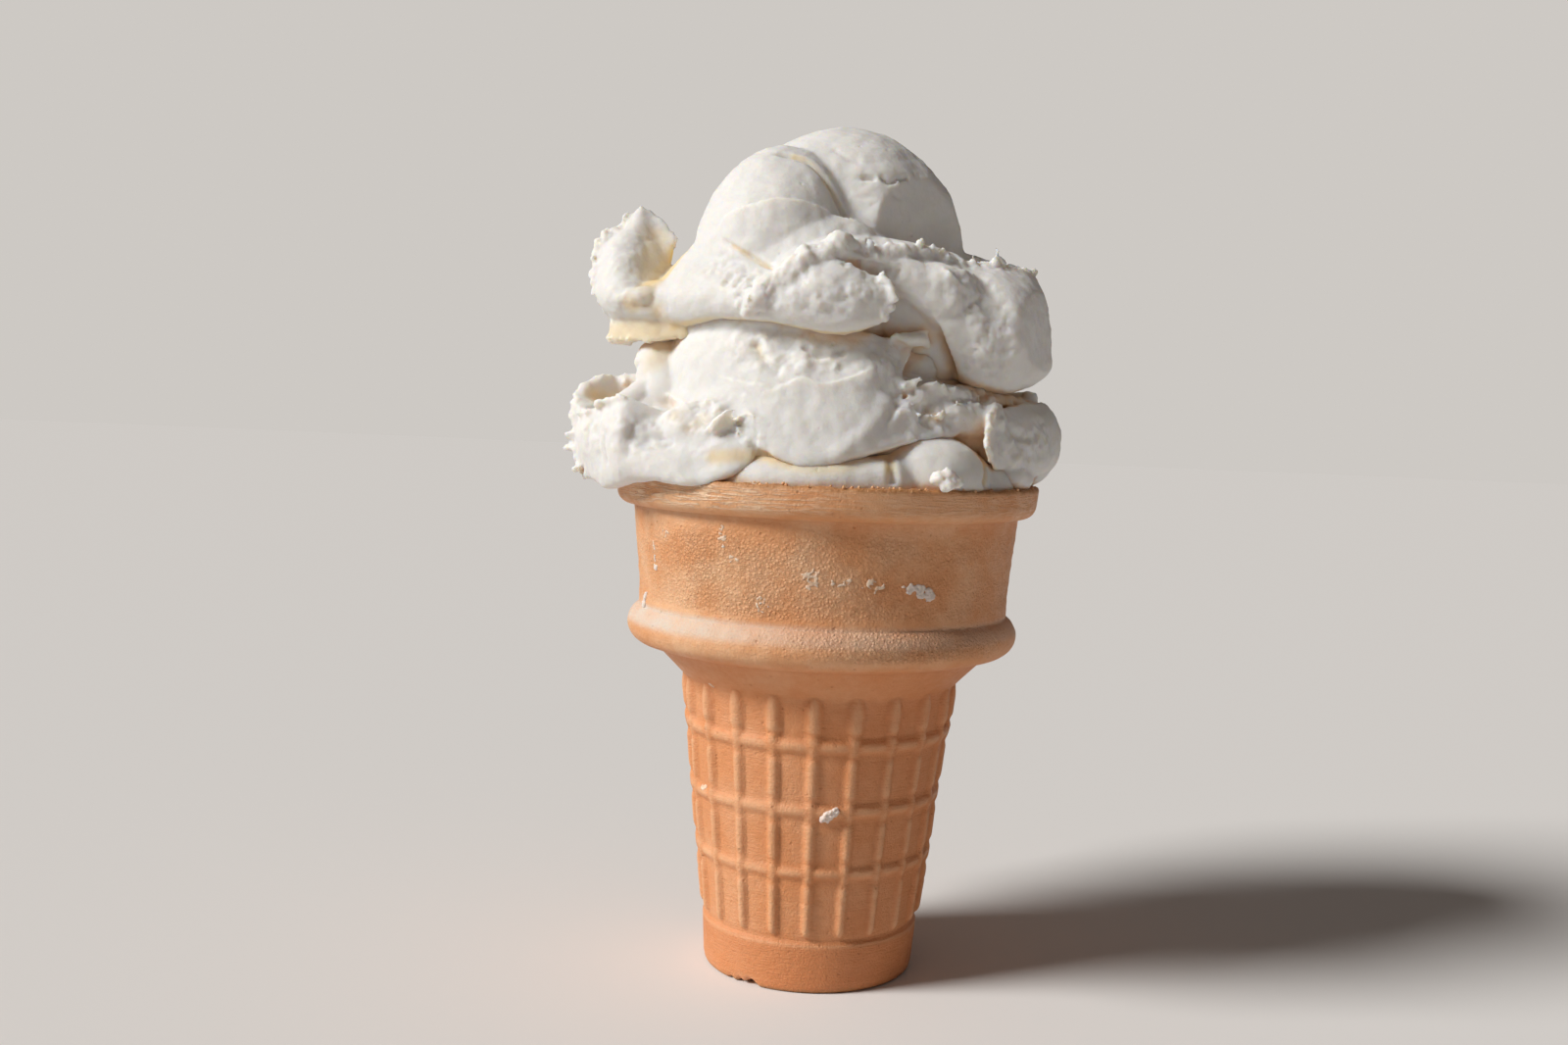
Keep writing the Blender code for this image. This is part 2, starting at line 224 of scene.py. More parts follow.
wafer = spin_outline("wafer", outline, COLUMNS)
print("the wafer has", triangle_count(wafer), "triangles")

# %% [markdown]
# ## Raise the ribs
# The mould has grooves cut in it, which leave a lattice of round-topped ribs on the foot of
# the cup. They could be modelled one by one and joined on, but batter flows into such a
# mould as one skin. So each corner of the mesh works out how far it is from the nearest
# upright rib and the nearest ring, and moves outwards by the height that the rib has there.
# The uprights narrow beside each ring, end in round tips, and are bolder in the top row.

# %% Raise the ribs
UPRIGHT_RIBS = 21
FIRST_RIB = math.radians(-1.0)
RIB_HEIGHT = 0.88
RIB_FOOT = (8.8, 10.2)            # its lower tip, and where it has its full width
RIB_HEAD = (43.6, 46.3)          # where a rib starts to narrow, and its tip
CROSS_RIBS = ((19.0, 0.95, 0.62), (28.7, 1.05, 0.70), (38.7, 1.1, 0.74))   # height, half, rise


def rounded(distance, half):
    """Cross-section of a rib: steep sides and a round top."""
    return np.clip(1.0 - np.abs(distance / np.maximum(half, 0.01)) ** 2.2, 0.0, 1.0) ** 0.9


def raise_ribs(item):
    places = corners_of(item)
    radius = np.hypot(places[:, 0], places[:, 1])
    angle = np.arctan2(places[:, 0], -places[:, 1])
    height = places[:, 2]
    pitch = 2.0 * math.pi / UPRIGHT_RIBS
    away = np.abs((angle - FIRST_RIB + pitch / 2) % pitch - pitch / 2) * radius
    head = np.clip((height - RIB_HEAD[0]) / (RIB_HEAD[1] - RIB_HEAD[0]), 0.0, 1.0)
    foot = np.clip((RIB_FOOT[1] - height) / (RIB_FOOT[1] - RIB_FOOT[0]), 0.0, 1.0)
    bullet = np.sqrt((1.0 - head ** 2) * (1.0 - foot ** 2))              # a rib ends like a bullet
    pinch = sum(np.exp(-((np.abs(height - middle) - 1.7) / 0.6) ** 2) for middle, *_ in CROSS_RIBS)
    # bolder in the top row
    half = np.interp(height, (9.0, 37.5, 39.5, 44.0), (0.85, 1.1, 1.3, 1.4)) * bullet
    half = half * (1.0 - 0.16 * pinch) * (1.0 + 0.13 * wobble(places, size=3.6, seed=4))
    tall = RIB_HEIGHT * np.interp(height, (38.0, 40.0), (0.92, 1.2)) * (1.0 - 0.34 * pinch)
    rise = tall * rounded(away, half) * bullet
    for middle, half_height, top in CROSS_RIBS:
        rise = np.maximum(rise, top * rounded(height - middle - 0.12 * wobble(places, size=6.0, seed=2),
                                              half_height))
    outside = (radius > 15.5) & (height > LATTICE_FOOT[1]) & (height < 50.0)
    inside = radius < np.interp(height, (2.4, 45.0), (15.5, 20.6))
    rise = np.where(outside & ~inside, rise, 0.0)
    worn = 0.93 + 0.14 * wobble(places, size=5.0, seed=3)
    places[:, :2] *= ((radius + rise * worn) / np.maximum(radius, 0.01))[:, None]
    move_corners(item, places)


raise_ribs(wafer)
print("raised", UPRIGHT_RIBS, "upright ribs and", len(CROSS_RIBS), "rings")

# %% [markdown]
# ## Wear on the wafer
# Nothing baked is quite true. The body wanders a little, the upper wall is pebbled where
# steam blistered the batter, the rim's top edge is nibbled, flakes lie along its band, and
# a few chips are missing round the foot. Sculpting these by hand would work once. Moving
# the corners by noise, kept to each zone by its height and angle, gives the same result
# every time.

# %% Angles round the wafer
def angles_of(places):
    """Each place's angle round the axis in degrees, 0 at the front and growing to the right."""
    return np.degrees(np.arctan2(places[:, 0], -places[:, 1]))


def near_angle(angle, middle, half):
    """1 at this angle, falling to 0 at half degrees on either side."""
    return 1.0 - ease(np.abs((angle - middle + 180.0) % 360.0 - 180.0), 0.0, half)


print("a place straight in front is at", round(angles_of(np.array([[0.0, -1.0, 0.0]]))[0]), "degrees")

# %% Wear the wafer
# chips round the foot: angle, half width in degrees, depth in millimetres
CHIPS = ((-31.0, 6.0, 0.9), (-38.0, 4.0, 0.5), (-45.0, 3.0, 0.35), (64.0, 3.0, 0.3), (140.0, 4.0, 0.5))


def wear_wafer(item):
    places = corners_of(item)
    radius = np.hypot(places[:, 0], places[:, 1])
    angle = angles_of(places)
    height = places[:, 2]
    outside = radius > np.interp(height, (0, 2.4, 45, 57, 72, 77), (-1, 15.4, 20.4, 28.2, 29.3, 32.0))
    # the moulds never meet quite true, so the whole cup wanders a little
    drift = 0.16 * wobble(places, size=14.0, seed=5) * ease(height, 1.0, 6.0)
    # the grain of the baked batter: coarse on the upper wall, fine elsewhere
    upper_wall = ease(height, 57.0, 59.5) * (1.0 - ease(height, 70.0, 73.0))
    bead = ease(height, 51.5, 53.0) * (1.0 - ease(height, 57.0, 58.0))
    batter = np.where(outside, 0.09 * wobble(places, size=1.15, seed=6) * (0.25 + upper_wall + 0.6 * bead),
                      0.0)
    # the rim's top edge is nibbled, and flakes lie along the front of the rim band
    edge = ease(height, 76.6, 77.6)
    nibbles = edge * (0.22 * wobble(places, size=1.1, seed=7) + 0.2 * wobble(places, size=3.5, seed=8))
    stretched = places * np.array([0.35, 0.35, 2.6])
    flakes = np.clip(wobble(stretched, size=1.4, seed=9) - 0.05, 0.0, 1.0) * near_angle(angle, -32, 42)
    flakes *= ease(height, 74.4, 75.2) * (1.0 - ease(height, 76.9, 77.3)) * outside
    # a shallow crease above the foot, and bites out of the bottom edge
    crease = -0.11 * np.exp(-((height - 8.2) / 0.35) ** 2)
    crease -= 0.07 * np.exp(-((height - 14.6) / 0.3) ** 2)
    crease = np.where(outside & (height > 5.0), crease, 0.0)
    move = drift + batter + 0.45 * flakes + crease
    grown = radius + np.where(radius > 3.0, move, 0.0)
    places[:, :2] *= (grown / np.maximum(radius, 0.01))[:, None]
    places[:, 2] += nibbles
    bitten = sum(near_angle(angle, middle, half) * deep for middle, half, deep in CHIPS)
    foot = (radius > 14.6) * (1.0 - ease(height, 0.0, 1.5))
    places[:, 2] += foot * bitten * (1.0 + 0.4 * wobble(places, size=0.8, seed=10))
    places[:, :2] *= (1.0 - 0.02 * foot * np.minimum(bitten, 1.0))[:, None]
    move_corners(item, places)


wear_wafer(wafer)
print("wore the wafer; chips round its foot:", len(CHIPS))

# %% [markdown]
# ## How the ice cream is built
# Scooped ice cream is soft in the middle and torn at its edges. Sculpting it by hand can't
# be repeated, and one displaced ball looks like a stone. Here each scoop is a pile of
# simple closed shapes: lumps and rolls for the mass, thin sheets for the smeared faces, and
# small knobs where it tore. They overlap, and a voxel remesh melts them into one skin. The
# first shape is a lump, a round ball that is stretched and turned.

# %% Lumps
def lump(place, radii, turn=(0.0, 0.0, 0.0)):
    """A rounded lump. Millimetres and degrees."""
    bpy.ops.object.select_all(action="DESELECT")
    bpy.ops.mesh.primitive_ico_sphere_add(
        subdivisions=5 if max(radii) > 10 else 4, radius=1.0,
        location=Vector(place) * MM, rotation=[math.radians(a) for a in turn],
        scale=Vector(radii) * MM)
    return bpy.context.object


print("a small lump has", 20 * 4 ** 3, "triangles")

# %% Curves through points
def smooth_path(points, step=0.8):
    """Places every step mm or so along a smooth curve through the points."""
    points = [np.array(p, float) for p in points]
    padded = [2 * points[0] - points[1]] + points + [2 * points[-1] - points[-2]]
    places = []
    for a, b, c, d in zip(padded, padded[1:], padded[2:], padded[3:]):
        count = max(2, int(np.linalg.norm((c - b)[:3]) / step))
        for i in range(count):
            t = i / count
            places.append(0.5 * (2 * b + (c - a) * t + (2 * a - 5 * b + 4 * c - d) * t ** 2
                                 + (3 * b - 3 * c + d - a) * t ** 3))
    return np.array(places + [points[-1]])


def evenly(points, count):
    """The same curve as count places at equal distances."""
    path = smooth_path(points, 0.3)
    run = np.concatenate([[0.0], np.cumsum(np.linalg.norm(np.diff(path[:, :3], axis=0), axis=1))])
    wanted = np.linspace(0.0, run[-1], count)
    return np.array([np.interp(wanted, run, path[:, k]) for k in range(path.shape[1])]).T


bend = [(0, 0, 0), (10, 0, 0), (10, 10, 0)]
print("a bend through three places has", len(smooth_path(bend)), "places along it")

# %% [markdown]
# ## Rolls, knobs and torn ridges
# A roll of ice cream is a string of overlapping balls whose size changes along a curve. The
# same balls, small and scattered, are the knobs along an edge that tore. A torn ridge is a
# string of balls that wanders and changes thickness. Every ball is added to one mesh,
# because thousands of separate objects would be slow.

# %% Balls and rolls
def balls(name, places, radii, stretch=0.0, seed=0, subdivisions=1):
    """Many small balls as one mesh; stretch makes them uneven."""
    chance = np.random.default_rng(seed)
    mesh = bpy.data.meshes.new(name)
    bm = bmesh.new()
    for place, radius in zip(places, radii):
        size = radius * (1.0 + stretch * chance.uniform(-1.0, 1.0, 3))
        spin = Matrix.Rotation(chance.uniform(0.0, 6.3), 4, Vector(chance.normal(size=3)))
        matrix = Matrix.Translation(Vector(place) * MM) @ spin @ Matrix.Diagonal((*(size * MM), 1.0))
        bmesh.ops.create_icosphere(bm, subdivisions=subdivisions, radius=1.0, matrix=matrix)
    bm.to_mesh(mesh)
    bm.free()
    item = bpy.data.objects.new(name, mesh)
    bpy.context.scene.collection.objects.link(item)
    return item


def roll(points):
    """A soft roll: points are (x, y, z, radius) along its middle."""
    path = smooth_path(points, 0.8)
    return balls("roll", path[:, :3], path[:, 3], subdivisions=3)


print("a ball in a roll has", 20 * 4 ** 2, "triangles")

# %% Knobs and torn ridges
def knobs(points, count, sizes, spread, seed):
    """Torn knobs scattered along a path."""
    chance = np.random.default_rng(seed)
    path = smooth_path(points, 0.5)[:, :3]
    places = path[chance.integers(0, len(path), count)] + chance.normal(0.0, spread, (count, 3))
    radii = sizes[0] + (sizes[1] - sizes[0]) * chance.random(count) ** 1.8
    return balls("knobs", places, radii, 0.35, seed)


def torn(points, radius, jitter, seed):
    """A torn ridge: one bumpy strand of uneven thickness."""
    path = smooth_path(points, 0.4)[:, :3]
    shift = Vector((seed * 4.3, 3.3, seed * 1.9))
    places, radii = [], []
    for index, place in enumerate(path):
        spot = Vector((index * 0.4, 0.0, 0.0)) + shift
        wander = np.array(noise.noise_vector(spot / 0.9)) * jitter
        places.append(place + wander)
        radii.append(radius * (0.75 + 0.75 * abs(noise.fractal(spot / 1.3, 0.8, 2.0, 2))))
    return balls("torn", places, radii, 0.25, seed, 2)


print("a knob has 20 triangles, because there are hundreds")

# %% Flakes
def flake(base, edge, thick=1.4, thin=0.55, rag=0.8, seed=0, bow=(0.0, 0.0, 0.0)):
    """A torn sheet that thins from its base line to a ragged free edge."""
    length = np.linalg.norm(np.diff(smooth_path(edge), axis=0), axis=1).sum()
    columns = int(length / 0.5) + 2
    low, high = evenly(base, columns), evenly(edge, columns)
    chance = np.random.default_rng(seed)
    offset = Vector((seed * 3.7, 1.3, 9.1))
    places, radii = [], []
    for index in range(columns):
        span = high[index] - low[index]
        width = np.linalg.norm(span)
        torn = noise.fractal(Vector((index * 0.5 / 1.7, 0.0, 0.0)) + offset, 0.8, 2.0, 3)
        reach = 1.0 + rag * torn / max(width, 0.5)
        rows = max(2, int(width / 0.5))
        for row in range(rows + 1):
            t = row / rows
            middle = 4.0 * t * (1.0 - t)
            places.append(low[index] + span * t * reach + np.array(bow) * middle)
            radii.append((thick + (thin - thick) * t) * chance.uniform(0.85, 1.15))
    return balls("flake", places, radii, 0.15, seed, 1)


print("flakes, knobs and torn ridges are ready")

# %% [markdown]
# ## Smeared sheets
# A disher drags the ice cream into broad smooth faces. Each is drawn as a few rows of
# places that the skin passes through, from top to bottom. A grid is laid through them along
# smooth curves, its border is torn by noise, and a Solidify modifier gives it thickness on
# the inner side only, so the face stays exactly where it was drawn.

# %% Sheets
def sheet(rows, thick, rag=0.0, seed=0):
    """A skin through rows of places, made solid behind. rag tears its border."""
    longest = max(np.linalg.norm(np.diff(np.array(row, float), axis=0), axis=1).sum() for row in rows)
    columns = max(4, int(longest / 0.7))
    fine = np.array([evenly(row, columns) for row in rows])
    height = np.linalg.norm(np.diff(fine, axis=0), axis=2).sum(axis=0).max()
    count = max(4, int(height / 0.7))
    fine = np.array([evenly(fine[:, i], count) for i in range(columns)]).transpose(1, 0, 2)
    if rag:
        shift = Vector((seed * 5.1, 2.2, 7.7))
        for edge, inner in ((fine[0], fine[3]), (fine[-1], fine[-4]),
                            (fine[:, 0], fine[:, 3]), (fine[:, -1], fine[:, -4])):
            out = edge - inner
            out /= np.linalg.norm(out, axis=1)[:, None] + 1e-6
            tears = [noise.fractal(Vector(p) / 1.6 + shift, 0.7, 2.0, 3) for p in edge]
            edge += out * rag * np.array(tears)[:, None]
    bpy.ops.object.select_all(action="DESELECT")
    bpy.ops.mesh.primitive_grid_add(x_subdivisions=columns - 1, y_subdivisions=count - 1, size=1.0)
    item = bpy.context.object
    spots = corners_of(item) * MM
    across = np.rint((spots[:, 0] + 0.5) * (columns - 1)).astype(int)
    down = np.rint((0.5 - spots[:, 1]) * (count - 1)).astype(int)
    move_corners(item, fine[down, across])
    middle = np.array([0.0, 0.0, fine[:, :, 2].mean()])
    if np.einsum("ij,ij->i", corners_of(item) - middle, normals_of(item)).mean() < 0:
        bpy.ops.object.mode_set(mode="EDIT")
        bpy.ops.mesh.select_all(action="SELECT")
        bpy.ops.mesh.flip_normals()
        bpy.ops.object.mode_set(mode="OBJECT")
    apply_modifier(item, "SOLIDIFY", thickness=thick * MM, offset=-1.0)
    return item


print("sheets are ready")

# %% [markdown]
# ## Round the back
# The back of a scoop is easier to think of as going round the axis than as left and right.
# A skirt is a sheet whose profile is given once, as radius and height, and then moved out
# and up a little at each angle.

# %% Skirts
def round_back(angle, radius, height):
    """A place behind the axis: degrees from straight behind (right is above 0), radius and height."""
    turn = math.radians(angle)
    return np.array((radius * math.sin(turn), radius * math.cos(turn), height))


def skirt(columns, profile, thick, rag=0.0, seed=0):
    """A sheet round the back. profile is (radius, height); columns are (angle, out, up)."""
    rows = []
    for index, (radius, height) in enumerate(profile):
        share = min(1.0, 0.25 + 1.5 * index / (len(profile) - 1))
        rows.append([round_back(angle, radius + share * out, height + share * up)
                     for angle, out, up in columns])
    return sheet(rows, thick=thick, rag=rag, seed=seed)


print("straight behind, at a radius of 30:", [round(float(v), 1) for v in round_back(0, 30, 100)])

# %% [markdown]
# ## Melt the pieces together
# A boolean union would keep every hard crease between the pieces. A voxel remesh builds one
# new skin round all of them, and a little smoothing lets the creases soften, as they do
# when ice cream starts to melt. A knob that hangs free in the air is found as a loose part
# and taken away.

# %% Melt
def melt(name, pieces, voxel=0.36, rounds=2):
    """Join the pieces into one skin and let its creases soften."""
    select_only(*pieces)
    if len(pieces) > 1:
        bpy.ops.object.join()
    item = bpy.context.object
    item.name = name
    item.data.name = name
    bpy.ops.object.transform_apply(location=True, rotation=True, scale=True)
    apply_modifier(item, "REMESH", mode="VOXEL", voxel_size=voxel * MM)
    apply_modifier(item, "SMOOTH", factor=0.5, iterations=rounds)
    return item


def drop_loose(item):
    """Delete what isn't joined to the biggest part, such as a knob left in the air."""
    select_only(item)
    bpy.ops.object.mode_set(mode="EDIT")
    bpy.ops.mesh.select_all(action="SELECT")
    bpy.ops.mesh.separate(type="LOOSE")
    bpy.ops.object.mode_set(mode="OBJECT")
    parts = list(bpy.context.selected_objects)
    biggest = max(parts, key=lambda part: len(part.data.vertices))
    print("loose bits taken away:", len(parts) - 1)
    name = item.name
    for part in parts:
        if part != biggest:
            bpy.data.objects.remove(part)
    biggest.name = name
    return biggest


print("the skin is rebuilt from cells of 0.36 mm")

# %% [markdown]
# ## Marks in the skin
# After the remesh the skin is dense enough for fine marks. A stroke follows a line over the
# skin and presses a crease, or lifts one side of it, like the edge of a layer. A press
# flattens what stands out past a plane. Roughening moves the skin in and out by noise
# inside a soft mask. All three work on the corners directly, because a sculpt brush needs a
# window and a hand.

# %% Strokes
def normals_of(item):
    flat = np.empty(len(item.data.vertices) * 3, np.float32)
    item.data.vertices.foreach_get("normal", flat)
    return flat.reshape(-1, 3).astype(float)


def nearest_on_path(places, path):
    """For each place: its distance to the path, the offset from it and the path's direction."""
    best = np.full(len(places), 1e9)
    offset = np.zeros((len(places), 3))
    along = np.zeros((len(places), 3))
    share = np.zeros(len(places))
    for index, (start, end) in enumerate(zip(path, path[1:])):
        step = end - start
        if not step.any():
            continue
        t = np.clip(((places - start) @ step) / (step @ step), 0.0, 1.0)
        gap = places - (start + t[:, None] * step)
        distance = np.linalg.norm(gap, axis=1)
        closer = distance < best
        best[closer] = distance[closer]
        offset[closer] = gap[closer]
        along[closer] = step / np.linalg.norm(step)
        share[closer] = (index + t[closer]) / (len(path) - 1)
    return best, offset, along, share


def stroke(item, points, rise, width, side=0, fade=0.12, sharp=0.25):
    """Press a line in (rise below 0) or pull it out. side 1 or -1 moves one side only."""
    path = np.array([item.closest_point_on_mesh(Vector(p) * MM)[1] / MM for p in smooth_path(points, 1.0)])
    places = corners_of(item)
    normals = normals_of(item)
    near = np.where(np.min(np.linalg.norm(places[:, None] - path[None, ::4], axis=2), axis=1)
                    < 4.0 * width + 4.0)[0]
    distance, offset, along, share = nearest_on_path(places[near], path)
    if side:
        across = np.einsum("ij,ij->i", np.cross(along, normals[near]), offset) * side
        shape = np.exp(-distance / width) * ease(across, -sharp, sharp)
    else:
        shape = np.exp(-(distance / width) ** 2)
    shape = shape * ease(share, 0.0, fade) * (1.0 - ease(share, 1.0 - fade, 1.0))
    places[near] += normals[near] * (rise * shape)[:, None]
    move_corners(item, places)


print("strokes are ready")

# %% Soft masks
def near_mask(item, points, reach):
    """1 on the path, falling to 0 at this distance from it."""
    distance = nearest_on_path(corners_of(item), smooth_path(points, 1.5)[:, :3])[0]
    return 1.0 - ease(distance, 0.25 * reach, reach)


print("masks are ready")

# %% Press and roughen
def press(item, place, normal, reach, share=1.0):
    """Press a flat into the skin: what stands out past the plane is pushed back to it."""
    places = corners_of(item)
    normal = np.array(normal, float) / np.linalg.norm(normal)
    gap = places - np.array(place, float)
    above = gap @ normal
    sideways = np.linalg.norm(gap - above[:, None] * normal, axis=1)
    weight = (1.0 - ease(sideways, 0.8 * reach, reach)) * share
    places -= normal * (np.clip(above, 0.0, None) * weight)[:, None]
    move_corners(item, places)


def roughen(item, mask, size, rise, seed=0, kind="soft"):
    """Move the skin in and out by noise, as far as the mask (0 to 1) allows."""
    places = corners_of(item)
    normals = normals_of(item)
    busy = np.where(mask > 0.01)[0]
    offset = Vector((seed * 7.3, seed * 3.1, seed * 5.7))
    value = np.array([noise.fractal(Vector(p) / size + offset, 0.9, 2.0, 4) for p in places[busy]])
    if kind == "crumbs":                       # angular crumbs with cracks between
        gaps = [noise.voronoi(Vector(p) / size + offset)[0] for p in places[busy]]
        value = np.array([min(far - close, 0.5) for close, far, *_ in gaps]) * 1.1 - 0.28 + 0.7 * value
    if kind == "pits":                         # flat between, sharp holes below
        value = -np.clip(value - 0.12, 0.0, None) * 2.4
    places[busy] += normals[busy] * (value * mask[busy] * rise)[:, None]
    move_corners(item, places)


def roughen_places(item, places):
    """Roughen the skin near each line, with each of its coats in turn."""
    for points, reach, coats in places:
        mask = near_mask(item, points, reach)
        for size, rise, seed, kind in coats:
            roughen(item, mask, size=size, rise=rise, seed=seed, kind=kind)


def roughen_all_over(item, seeds):
    """Faint noise in three sizes over the whole skin, because even smooth ice cream isn't polished."""
    everywhere = np.ones(len(item.data.vertices))
    for (size, rise), seed in zip(((8.0, 0.35), (2.6, 0.08), (0.9, 0.045)), seeds):
        roughen(item, everywhere, size=size, rise=rise, seed=seed)


print("presses and rough skin are ready")

# %% Thin out
MOST_TRIANGLES = 192000


def thin_out(item):
    """Take triangles away where the skin is smooth, and keep them where it is torn."""
    count = triangle_count(item)
    if count > MOST_TRIANGLES:
        apply_modifier(item, "DECIMATE", ratio=MOST_TRIANGLES / count)


print("a scoop keeps at most", MOST_TRIANGLES, "triangles")

# %% [markdown]
# ## Upper scoop: dome and fold
# The scoop's dome was pressed flat on its right by the disher. A second, lower layer folds
# over its front left. Stretched balls are close to both shapes, so they are enough under
# the skin. The dome is melted by itself first, so that it can be pressed before the rest
# joins it.

# %% Dome and fold
dome = melt("dome", [lump((0.8, 3, 111.8), (19.4, 18.2, 21.4))], voxel=0.8)
# flat on its right
press(dome, place=(12.6, -7.2, 117), normal=(0.70, -0.71, 0.056), reach=17.0)
# and flatter on its front
press(dome, place=(2.4, -12.9, 119), normal=(-0.16, -0.965, 0.21), reach=9.0, share=0.8)
upper_pieces = [
    dome,
    # the fold over its front left, and the layer below it
    lump((-8.5, -6, 108.7), (13.8, 15.4, 19.6)), lump((-4, -11, 106), (15.5, 12.4, 12.6)),
    # the shelf under the dome
    lump((4, 0, 103), (21, 18, 5.6)), lump((-8, 2, 103.2), (21, 18, 5.6))]
print("with the dome and the fold, the upper scoop has", len(upper_pieces), "pieces")

# %% [markdown]
# ## Upper scoop: the smooth flank
# On the left a broad smooth face runs from the dome down and out to the lower edge. It
# turns under there, so the last row of the sheet comes back inwards.

# %% Left flank
flank = sheet(
    [[(-23.5, 2, 112), (-21.8, -6, 113.4), (-19, -12, 114), (-15, -16, 114), (-10, -19, 112.5),
      (-6, -21, 111)],
     [(-26, -5, 109), (-24, -11, 109.4), (-20.5, -15.5, 109.8), (-16, -19, 109.6), (-11, -22, 108.5),
      (-7, -23.5, 108)],
     [(-28.5, -9, 105.6), (-25.4, -15, 106), (-21.5, -18.8, 106), (-17, -22, 106), (-12.5, -24.5, 105.4),
      (-8, -25.5, 105)],
     [(-30.5, -10.5, 102.8), (-26, -15.5, 103), (-21.5, -19.6, 103), (-17, -22.8, 103), (-12.5, -25, 102.6),
      (-8, -26, 102.5)],
     [(-29.5, -8.5, 101), (-24.8, -13.5, 100.4), (-20.5, -17.5, 100.2), (-16.5, -20.8, 100.8),
      (-12.5, -23, 100.9), (-8, -24, 100.8)],
     [(-20, -5, 100.4), (-18, -8, 100.2), (-16, -11, 100.2), (-13, -14, 100.6), (-10, -16, 100.8),
      (-7, -17, 100.8)]],
    thick=5.0)
upper_pieces.append(flank)
print("with the flank, the upper scoop has", len(upper_pieces), "pieces")

# %% [markdown]
# ## Upper scoop: the flake and its roof
# In the middle a thick flake hangs forward over a recess. Its face is one sheet and the
# roof behind its torn edge another, so the edge between them stays narrow.

# %% Middle flake
face = sheet(
    [[(-10, -25, 106.2), (-6, -26.2, 108.6), (-2, -26.3, 109.4), (2.2, -25.8, 109.2), (6.2, -24.5, 107.8)],
     [(-11, -25.6, 104.4), (-6, -27.7, 105.6), (-1.5, -28.4, 106), (3.5, -28, 105.8), (7.6, -26.4, 105.2)],
     [(-11.5, -25.2, 102.6), (-6, -27.5, 102.8), (-1, -28.2, 102.6), (3.5, -27.9, 102.6),
      (7.6, -26.4, 102.8)],
     [(-11, -23.5, 101.2), (-6, -25.6, 100.2), (-1, -26.4, 99.5), (3, -26.2, 99.8), (6.4, -25.2, 100.7)],
     [(-10, -17, 101), (-6, -18, 100.2), (-1, -18.5, 99.8), (2.5, -18.5, 100), (4.5, -18.5, 101)]],
    thick=4.5, rag=0.9, seed=3)
roof = sheet(
    [[(-12, -17, 110), (-7, -18, 113), (0, -18, 114), (6, -17, 114), (12, -14, 113.6), (17, -9, 113)],
     [(-11.5, -22, 107.5), (-6.5, -23, 110.6), (0, -22.5, 112.6), (6, -20.5, 112.6), (12, -17.5, 112.6),
      (18.5, -12, 112)],
     [(-11, -24.6, 104.8), (-6, -26, 108), (0, -25.4, 110.4), (6, -23.4, 109.8), (11, -21.4, 108.8),
      (18, -18, 107)]],
    thick=4.0, rag=0.5, seed=4)
right_edge = [(6.6, -25.6, 107.6), (7.8, -26.4, 105.6), (7.9, -26.5, 103.6), (6.8, -26, 101.4)]
upper_pieces += [face, roof, knobs(right_edge, count=34, sizes=(0.3, 0.8), spread=0.25, seed=36)]
print("with the flake, the upper scoop has", len(upper_pieces), "pieces")

# %% [markdown]
# ## Upper scoop: the heavy tongue
# The right side turns down in one heavy smooth tongue that reaches past the lower scoop's
# top. Lumps fill it behind, and a roll closes the back of the recess beside it.

# %% Right tongue
skin = sheet(
    [[(4, -21, 112.4), (9, -19.6, 112.8), (14, -17, 112.8), (19, -13.5, 111.6), (24.5, -11.6, 111.4),
      (29.5, -7.5, 111.2), (29.4, 6, 110.4)],
     [(5.5, -22.4, 109.4), (10.5, -20.6, 109.2), (15, -18.8, 108.8), (20.5, -17.6, 108.2),
      (26.4, -16.4, 108), (31.6, -8, 108), (31.4, 8, 107)],
     [(9, -22.2, 106.8), (13, -21.2, 105.4), (17, -20.6, 104.8), (22, -20, 104.2), (27.4, -18.2, 104),
      (32.6, -9, 104.2), (32.4, 9, 103)],
     [(14.2, -20.4, 103), (16, -20.6, 101.2), (18.8, -20.6, 100.8), (23, -20.4, 100.4), (27.8, -18.4, 100),
      (33.2, -8.5, 99.8), (32.6, 9, 99.5)],
     [(16.8, -18.6, 98), (18.4, -19.2, 96.8), (20.6, -19.6, 96.6), (24.2, -19.2, 96.4), (28.4, -16.4, 96),
      (33.4, -7.5, 96.2), (32, 8, 96.5)],
     [(18.4, -16.4, 94), (20, -17, 93.2), (22.4, -17.2, 92.9), (25.2, -16, 92.8), (28.4, -12.6, 93),
      (31.8, -6, 94), (30.4, 5, 94.5)],
     [(17, -12, 94.5), (20, -12.4, 92.6), (22.5, -12.6, 92.2), (25, -11, 92.1), (27.4, -8.4, 92.3),
      (29, -5, 93), (29, 0, 94)]],
    thick=6.0)
upper_pieces += [
    skin, lump((25, -7.5, 101.5), (7.6, 9.5, 8.6)), lump((17, -14.5, 105), (6.5, 6.5, 5.5)),
    lump((14.5, -17.6, 107), (6.4, 4.6, 3.8)),
    roll([(6, -19.6, 109.4, 2.6), (11, -19.4, 107.6, 3), (16, -18.6, 104.6, 3.2)]),
    # smooth roll at the back of the recess
    roll([(2, -12, 106, 5.6), (7.5, -13, 105, 5.8), (11.5, -13.2, 101.4, 5.8), (14.5, -12.4, 97, 5.4)])]
print("with the tongue, the upper scoop has", len(upper_pieces), "pieces")

# %% [markdown]
# ## Upper scoop: the curled leaf
# Far left, a leaf curls up to a point. It is cupped, with its hollow face to the front, and
# it has a ledge at its foot and a thin flake below, like a ribbon set on edge. Small knobs
# give its border a frayed look.

